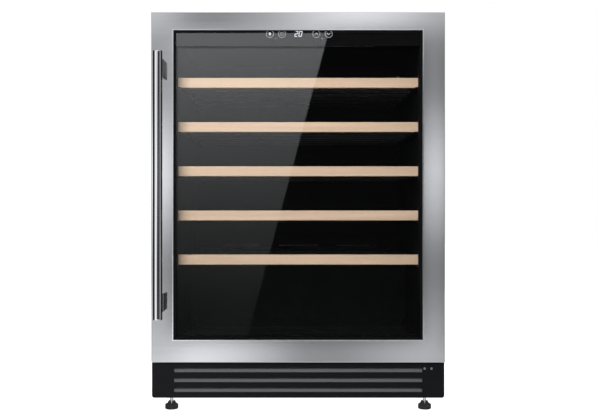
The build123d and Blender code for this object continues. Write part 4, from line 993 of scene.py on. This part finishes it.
class COOLER_OT_stage(bpy.types.Operator):
    """Set up the floor, the lamps, the glow card and the camera"""

    bl_idname = "cooler.stage"
    bl_label = "Stage"

    def execute(self, context):
        skin_low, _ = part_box("door_skin")
        self.world(context)
        self.floor()
        self.glow_card(skin_low.y)
        self.lamps()
        camera = bpy.data.cameras.new("camera")
        camera.lens = 55.0
        camera.sensor_width = 36.0
        holder = placed("camera", camera)
        holder.location = (CAMERA_X, skin_low.y - CAMERA_DISTANCE, CAMERA_HEIGHT)
        holder.rotation_euler = (math.radians(90), 0, 0)
        context.scene.camera = holder
        context.scene.view_settings.view_transform = "Standard"
        return {"FINISHED"}

    def world(self, context):
        """White behind the object and in gloss and glass; a softer light elsewhere."""
        world = bpy.data.worlds.new("studio")
        new, join = emptied(world)
        path = new("ShaderNodeLightPath")
        seen = path.outputs["Is Camera Ray"]
        for way in ("Is Glossy Ray", "Is Transmission Ray"):
            either = new("ShaderNodeMath")
            either.operation = "MAXIMUM"
            join(seen, either.inputs[0])
            join(path.outputs[way], either.inputs[1])
            seen = either.outputs[0]
        strength = new("ShaderNodeMapRange")
        strength.inputs["To Min"].default_value = AMBIENT
        strength.inputs["To Max"].default_value = 1.0
        join(seen, strength.inputs["Value"])
        background = new("ShaderNodeBackground")
        background.inputs["Color"].default_value = (1.0, 1.0, 1.0, 1.0)
        join(strength.outputs["Result"], background.inputs["Strength"])
        join(background.outputs[0], new("ShaderNodeOutputWorld").inputs["Surface"])
        context.scene.world = world

    def floor(self):
        """A pale round floor that shows as white and keeps the shadow."""
        angles = np.linspace(0, 2 * np.pi, 64, endpoint=False)
        t, r = np.meshgrid(angles, FLOOR_RINGS, indexing="ij")
        points = np.stack([r * np.cos(t), r * np.sin(t), np.full(t.shape, -0.0002)], axis=-1)
        mesh = mesh_of("floor", *grid_surface(points, capped=False))
        floor = placed("floor", mesh)
        material = bpy.data.materials.new("floor_pale")
        new, join = emptied(material)
        diffuse = new("ShaderNodeBsdfDiffuse")
        diffuse.inputs["Color"].default_value = (0.86, 0.86, 0.86, 1.0)
        lift = new("ShaderNodeMath")
        lift.operation = "MULTIPLY"
        lift.inputs[1].default_value = FLOOR_LIFT
        join(new("ShaderNodeLightPath").outputs["Is Camera Ray"], lift.inputs[0])
        glow = new("ShaderNodeEmission")
        join(lift.outputs[0], glow.inputs["Strength"])
        both = new("ShaderNodeAddShader")
        join(diffuse.outputs[0], both.inputs[0])
        join(glow.outputs[0], both.inputs[1])
        join(both.outputs[0], new("ShaderNodeOutputMaterial").inputs["Surface"])
        mesh.materials.append(material)
        floor.visible_glossy = False
        floor.visible_transmission = False

    def glow_card(self, face):
        """A screen behind the camera and at both sides, seen only in gloss and glass.

        Along the screen x runs across it and on round its two bends, and z is the height
        over the camera. What the steel frame shows is set by one fade down each stile and
        one along each rail; what the glass shows is a fade, cut off by a slanting edge.
        """
        bend = CARD_HALF_WIDTH
        columns = np.concatenate([np.linspace(-8.4, -bend, 27), np.linspace(-bend, bend, 161),
                                  np.linspace(bend, 6.4, 17), CARD_EDGE_X + CARD_SEAM,
                                  GLASS_SIDES, -GLASS_SIDES])
        rows = np.concatenate([np.linspace(-2.4, 3.0, 181), GLASS_BOTTOM, GLASS_TOP])
        along, z = np.meshgrid(np.unique(columns), np.unique(rows), indexing="ij")
        lean = CARD_EDGE_LEAN * np.clip(z, -0.8, 0.9)
        x = along + lean * np.clip(1 - np.abs(along - CARD_EDGE_X) / 0.45, 0, 1)
        stile = fade(z, STILE_FADE)
        rail = np.where(z > 0, fade(x, TOP_FADE), fade(x, BOTTOM_FADE))
        beside = np.clip((np.abs(x) - 0.50) / 0.10, 0.001, 1)
        over = np.clip(np.maximum(z - 0.74, -0.53 - z) / 0.10, 0.001, 1)
        light = (stile * beside + rail * over) / (beside + over)
        # above and below the frame: the ceiling, the plinth's strip and the feet's strip
        for goal, height, start, end in ((SKY_GLOW, z, 1.0, 1.6),
                                         (fade(x, PLINTH_FADE), -z, 0.72, 0.78),
                                         (FOOT_GLOW, -z, 0.86, 0.92)):
            light += (goal - light) * soft_step(height, start, end)
        # beside the frame: what the round handle bar shows
        wider = 0.16 * np.clip(np.abs(x) - 0.6, 0, 2.6)
        within = soft_step(z + wider, -0.68, -0.56) * (1 - soft_step(z - wider, 0.72, 0.82))
        for goal, side, start, end, share in ((LEFT_GLOW, -x, 0.72, 0.92, within),
                                              (RIGHT_GLOW, x, 0.655, 0.68, within),
                                              (RIGHT_WALL, x, 2.6, 2.9, 1.0),
                                              (LEFT_WALL, -x, 3.5, 3.7, 1.0)):
            light += (goal - light) * soft_step(side, start, end) * share
        haze = fade(z, GLASS_FADE) * np.interp(x, [-0.5, 0.15], [1.04, 0.92])
        inner = np.where(along < CARD_EDGE_X, haze, CARD_DARK)
        share = (1 - soft_step(np.abs(x), *GLASS_SIDES)) * soft_step(z, *GLASS_BOTTOM)
        light += (inner - light) * share * (1 - soft_step(z, *GLASS_TOP))
        plan_y = face - CARD_DISTANCE + np.clip(np.abs(x) - bend, 0, None)
        points = np.stack([np.clip(x, -bend, bend), plan_y, z + CAMERA_HEIGHT], axis=-1)
        mesh = mesh_of("glow_card", *grid_surface(points, wrap_u=False, capped=False))
        shade = mesh.attributes.new("glow", "FLOAT", "POINT")
        shade.data.foreach_set("value", light.reshape(-1).astype(np.float32))
        card = placed("glow_card", mesh)
        for way in ("camera", "diffuse", "volume_scatter", "shadow"):
            setattr(card, f"visible_{way}", False)
        material = bpy.data.materials.new("card_glow")
        new, join = emptied(material)
        source = new("ShaderNodeAttribute")
        source.attribute_name = "glow"
        glow = new("ShaderNodeEmission")
        glow.inputs["Color"].default_value = (0.985, 0.99, 1.01, 1.0)
        join(source.outputs["Fac"], glow.inputs["Strength"])
        join(glow.outputs[0], new("ShaderNodeOutputMaterial").inputs["Surface"])
        material.cycles.emission_sampling = "NONE"
        mesh.materials.append(material)

    def lamps(self):
        """Large soft lamps: a key from the left, a fill, a top light and one behind."""
        for name, place, size, power in LAMPS:
            light = bpy.data.lights.new(name, "AREA")
            light.shape = "RECTANGLE"
            light.size, light.size_y = size
            light.energy = power
            light.cycles.use_multiple_importance_sampling = False
            lamp = placed(name, light)
            lamp.location = place
            aim = Vector(LAMP_TARGET) - Vector(place)
            lamp.rotation_euler = aim.to_track_quat("-Z", "Y").to_euler()
            for way in ("camera", "glossy", "transmission"):
                setattr(lamp, f"visible_{way}", False)


AMBIENT = 0.22
FLOOR_LIFT = 0.9
FLOOR_RINGS = (0.001, 1.0, 3.0, 9.0)
CAMERA_X = 0.0018
CAMERA_HEIGHT = 0.4223
CAMERA_DISTANCE = 1.85  # in front of the door's face, like the card's
CARD_DISTANCE = 2.2
CARD_HALF_WIDTH = 3.2
# each fade is a few (place, brightness) stops, straight between them
STILE_FADE = ((-0.65, 0.94), (-0.5, 0.76), (-0.3, 0.49), (-0.2, 0.54), (0.14, 1.57),
              (0.25, 1.41), (0.5, 0.55), (0.7, 0.5), (0.77, 0.4), (0.85, 0.94))
TOP_FADE = ((-0.63, 1.05), (-0.5, 0.33), (-0.35, 0.31), (-0.1, 0.66), (0.16, 1.35),
            (0.26, 1.48), (0.42, 1.26), (0.52, 1.08), (0.61, 0.62))
BOTTOM_FADE = ((-0.63, 0.6), (-0.54, 1.2), (-0.45, 1.52), (-0.28, 1.3), (-0.1, 0.84),
               (0.0, 0.54), (0.22, 0.54), (0.36, 0.74), (0.52, 0.88), (0.61, 0.7))
PLINTH_FADE = ((-0.66, 3.0), (-0.5, 1.2), (-0.3, 0.03), (0.0, 0.0), (0.4, 0.0), (0.66, 0.2))
GLASS_FADE = ((-0.56, 0.04), (-0.4, 0.059), (-0.3, 0.087), (-0.1, 0.153), (0.08, 0.25),
              (0.3, 0.39), (0.5, 0.58), (0.75, 0.86))
SKY_GLOW = 0.75
FOOT_GLOW = 1.1
LEFT_GLOW = 0.95
RIGHT_GLOW = 0.01
RIGHT_WALL = 0.28
LEFT_WALL = 0.06
GLASS_SIDES = np.array([0.543, 0.553])
GLASS_BOTTOM = np.array([-0.586, -0.574])
GLASS_TOP = np.array([0.782, 0.793])
CARD_EDGE_X = -0.0765
CARD_EDGE_LEAN = 0.269
CARD_SEAM = np.array([-0.003, 0.003])
CARD_DARK = 0.012
LAMP_TARGET = (0.0, 0.0, 0.42)
LAMPS = (  # name, place, size, watts
    ("key_lamp", (-0.27, -1.22, 0.89), (0.45, 0.5), 15.5),
    ("front_lamp", (-0.2, -2.6, 0.9), (1.8, 1.2), 11.0),
    ("fill_lamp", (1.6, -2.0, 1.1), (1.2, 1.2), 1.8),
    ("top_lamp", (0.0, 0.2, 2.4), (1.6, 1.6), 18.0),
    ("back_lamp", (0.8, 2.4, 1.5), (1.4, 1.2), 24.0),
)


class COOLER_PT_panel(bpy.types.Panel):
    """Lists the cooler's pieces, sizes and colours"""

    bl_label = "Wine Cooler"
    bl_idname = "COOLER_PT_panel"
    bl_space_type = "VIEW_3D"
    bl_region_type = "UI"
    bl_category = "Wine Cooler"

    def draw(self, context):
        layout = self.layout
        for operator in OPERATORS:
            layout.operator(operator.bl_idname)
        for group in (context.scene.cooler_sizes, context.scene.cooler_colours):
            for key in group.__annotations__:
                layout.prop(group, key)


OPERATORS = (COOLER_OT_finishes, COOLER_OT_handle, COOLER_OT_glass_edge, COOLER_OT_touch_keys,
             COOLER_OT_feet, COOLER_OT_gasket, COOLER_OT_screws, COOLER_OT_stage)
CLASSES = (CoolerSizes, CoolerColours, *OPERATORS, COOLER_PT_panel)


def register():
    for cls in CLASSES:
        bpy.utils.register_class(cls)
    bpy.types.Scene.cooler_sizes = bpy.props.PointerProperty(type=CoolerSizes)
    bpy.types.Scene.cooler_colours = bpy.props.PointerProperty(type=CoolerColours)


def unregister():
    del bpy.types.Scene.cooler_colours
    del bpy.types.Scene.cooler_sizes
    for cls in reversed(CLASSES):
        bpy.utils.unregister_class(cls)


def main():
    """Register the add-on and make every piece."""
    register()
    for operator in OPERATORS:
        group, name = operator.bl_idname.split(".")
        getattr(getattr(bpy.ops, group), name)()


if __name__ == "__main__":
    main()
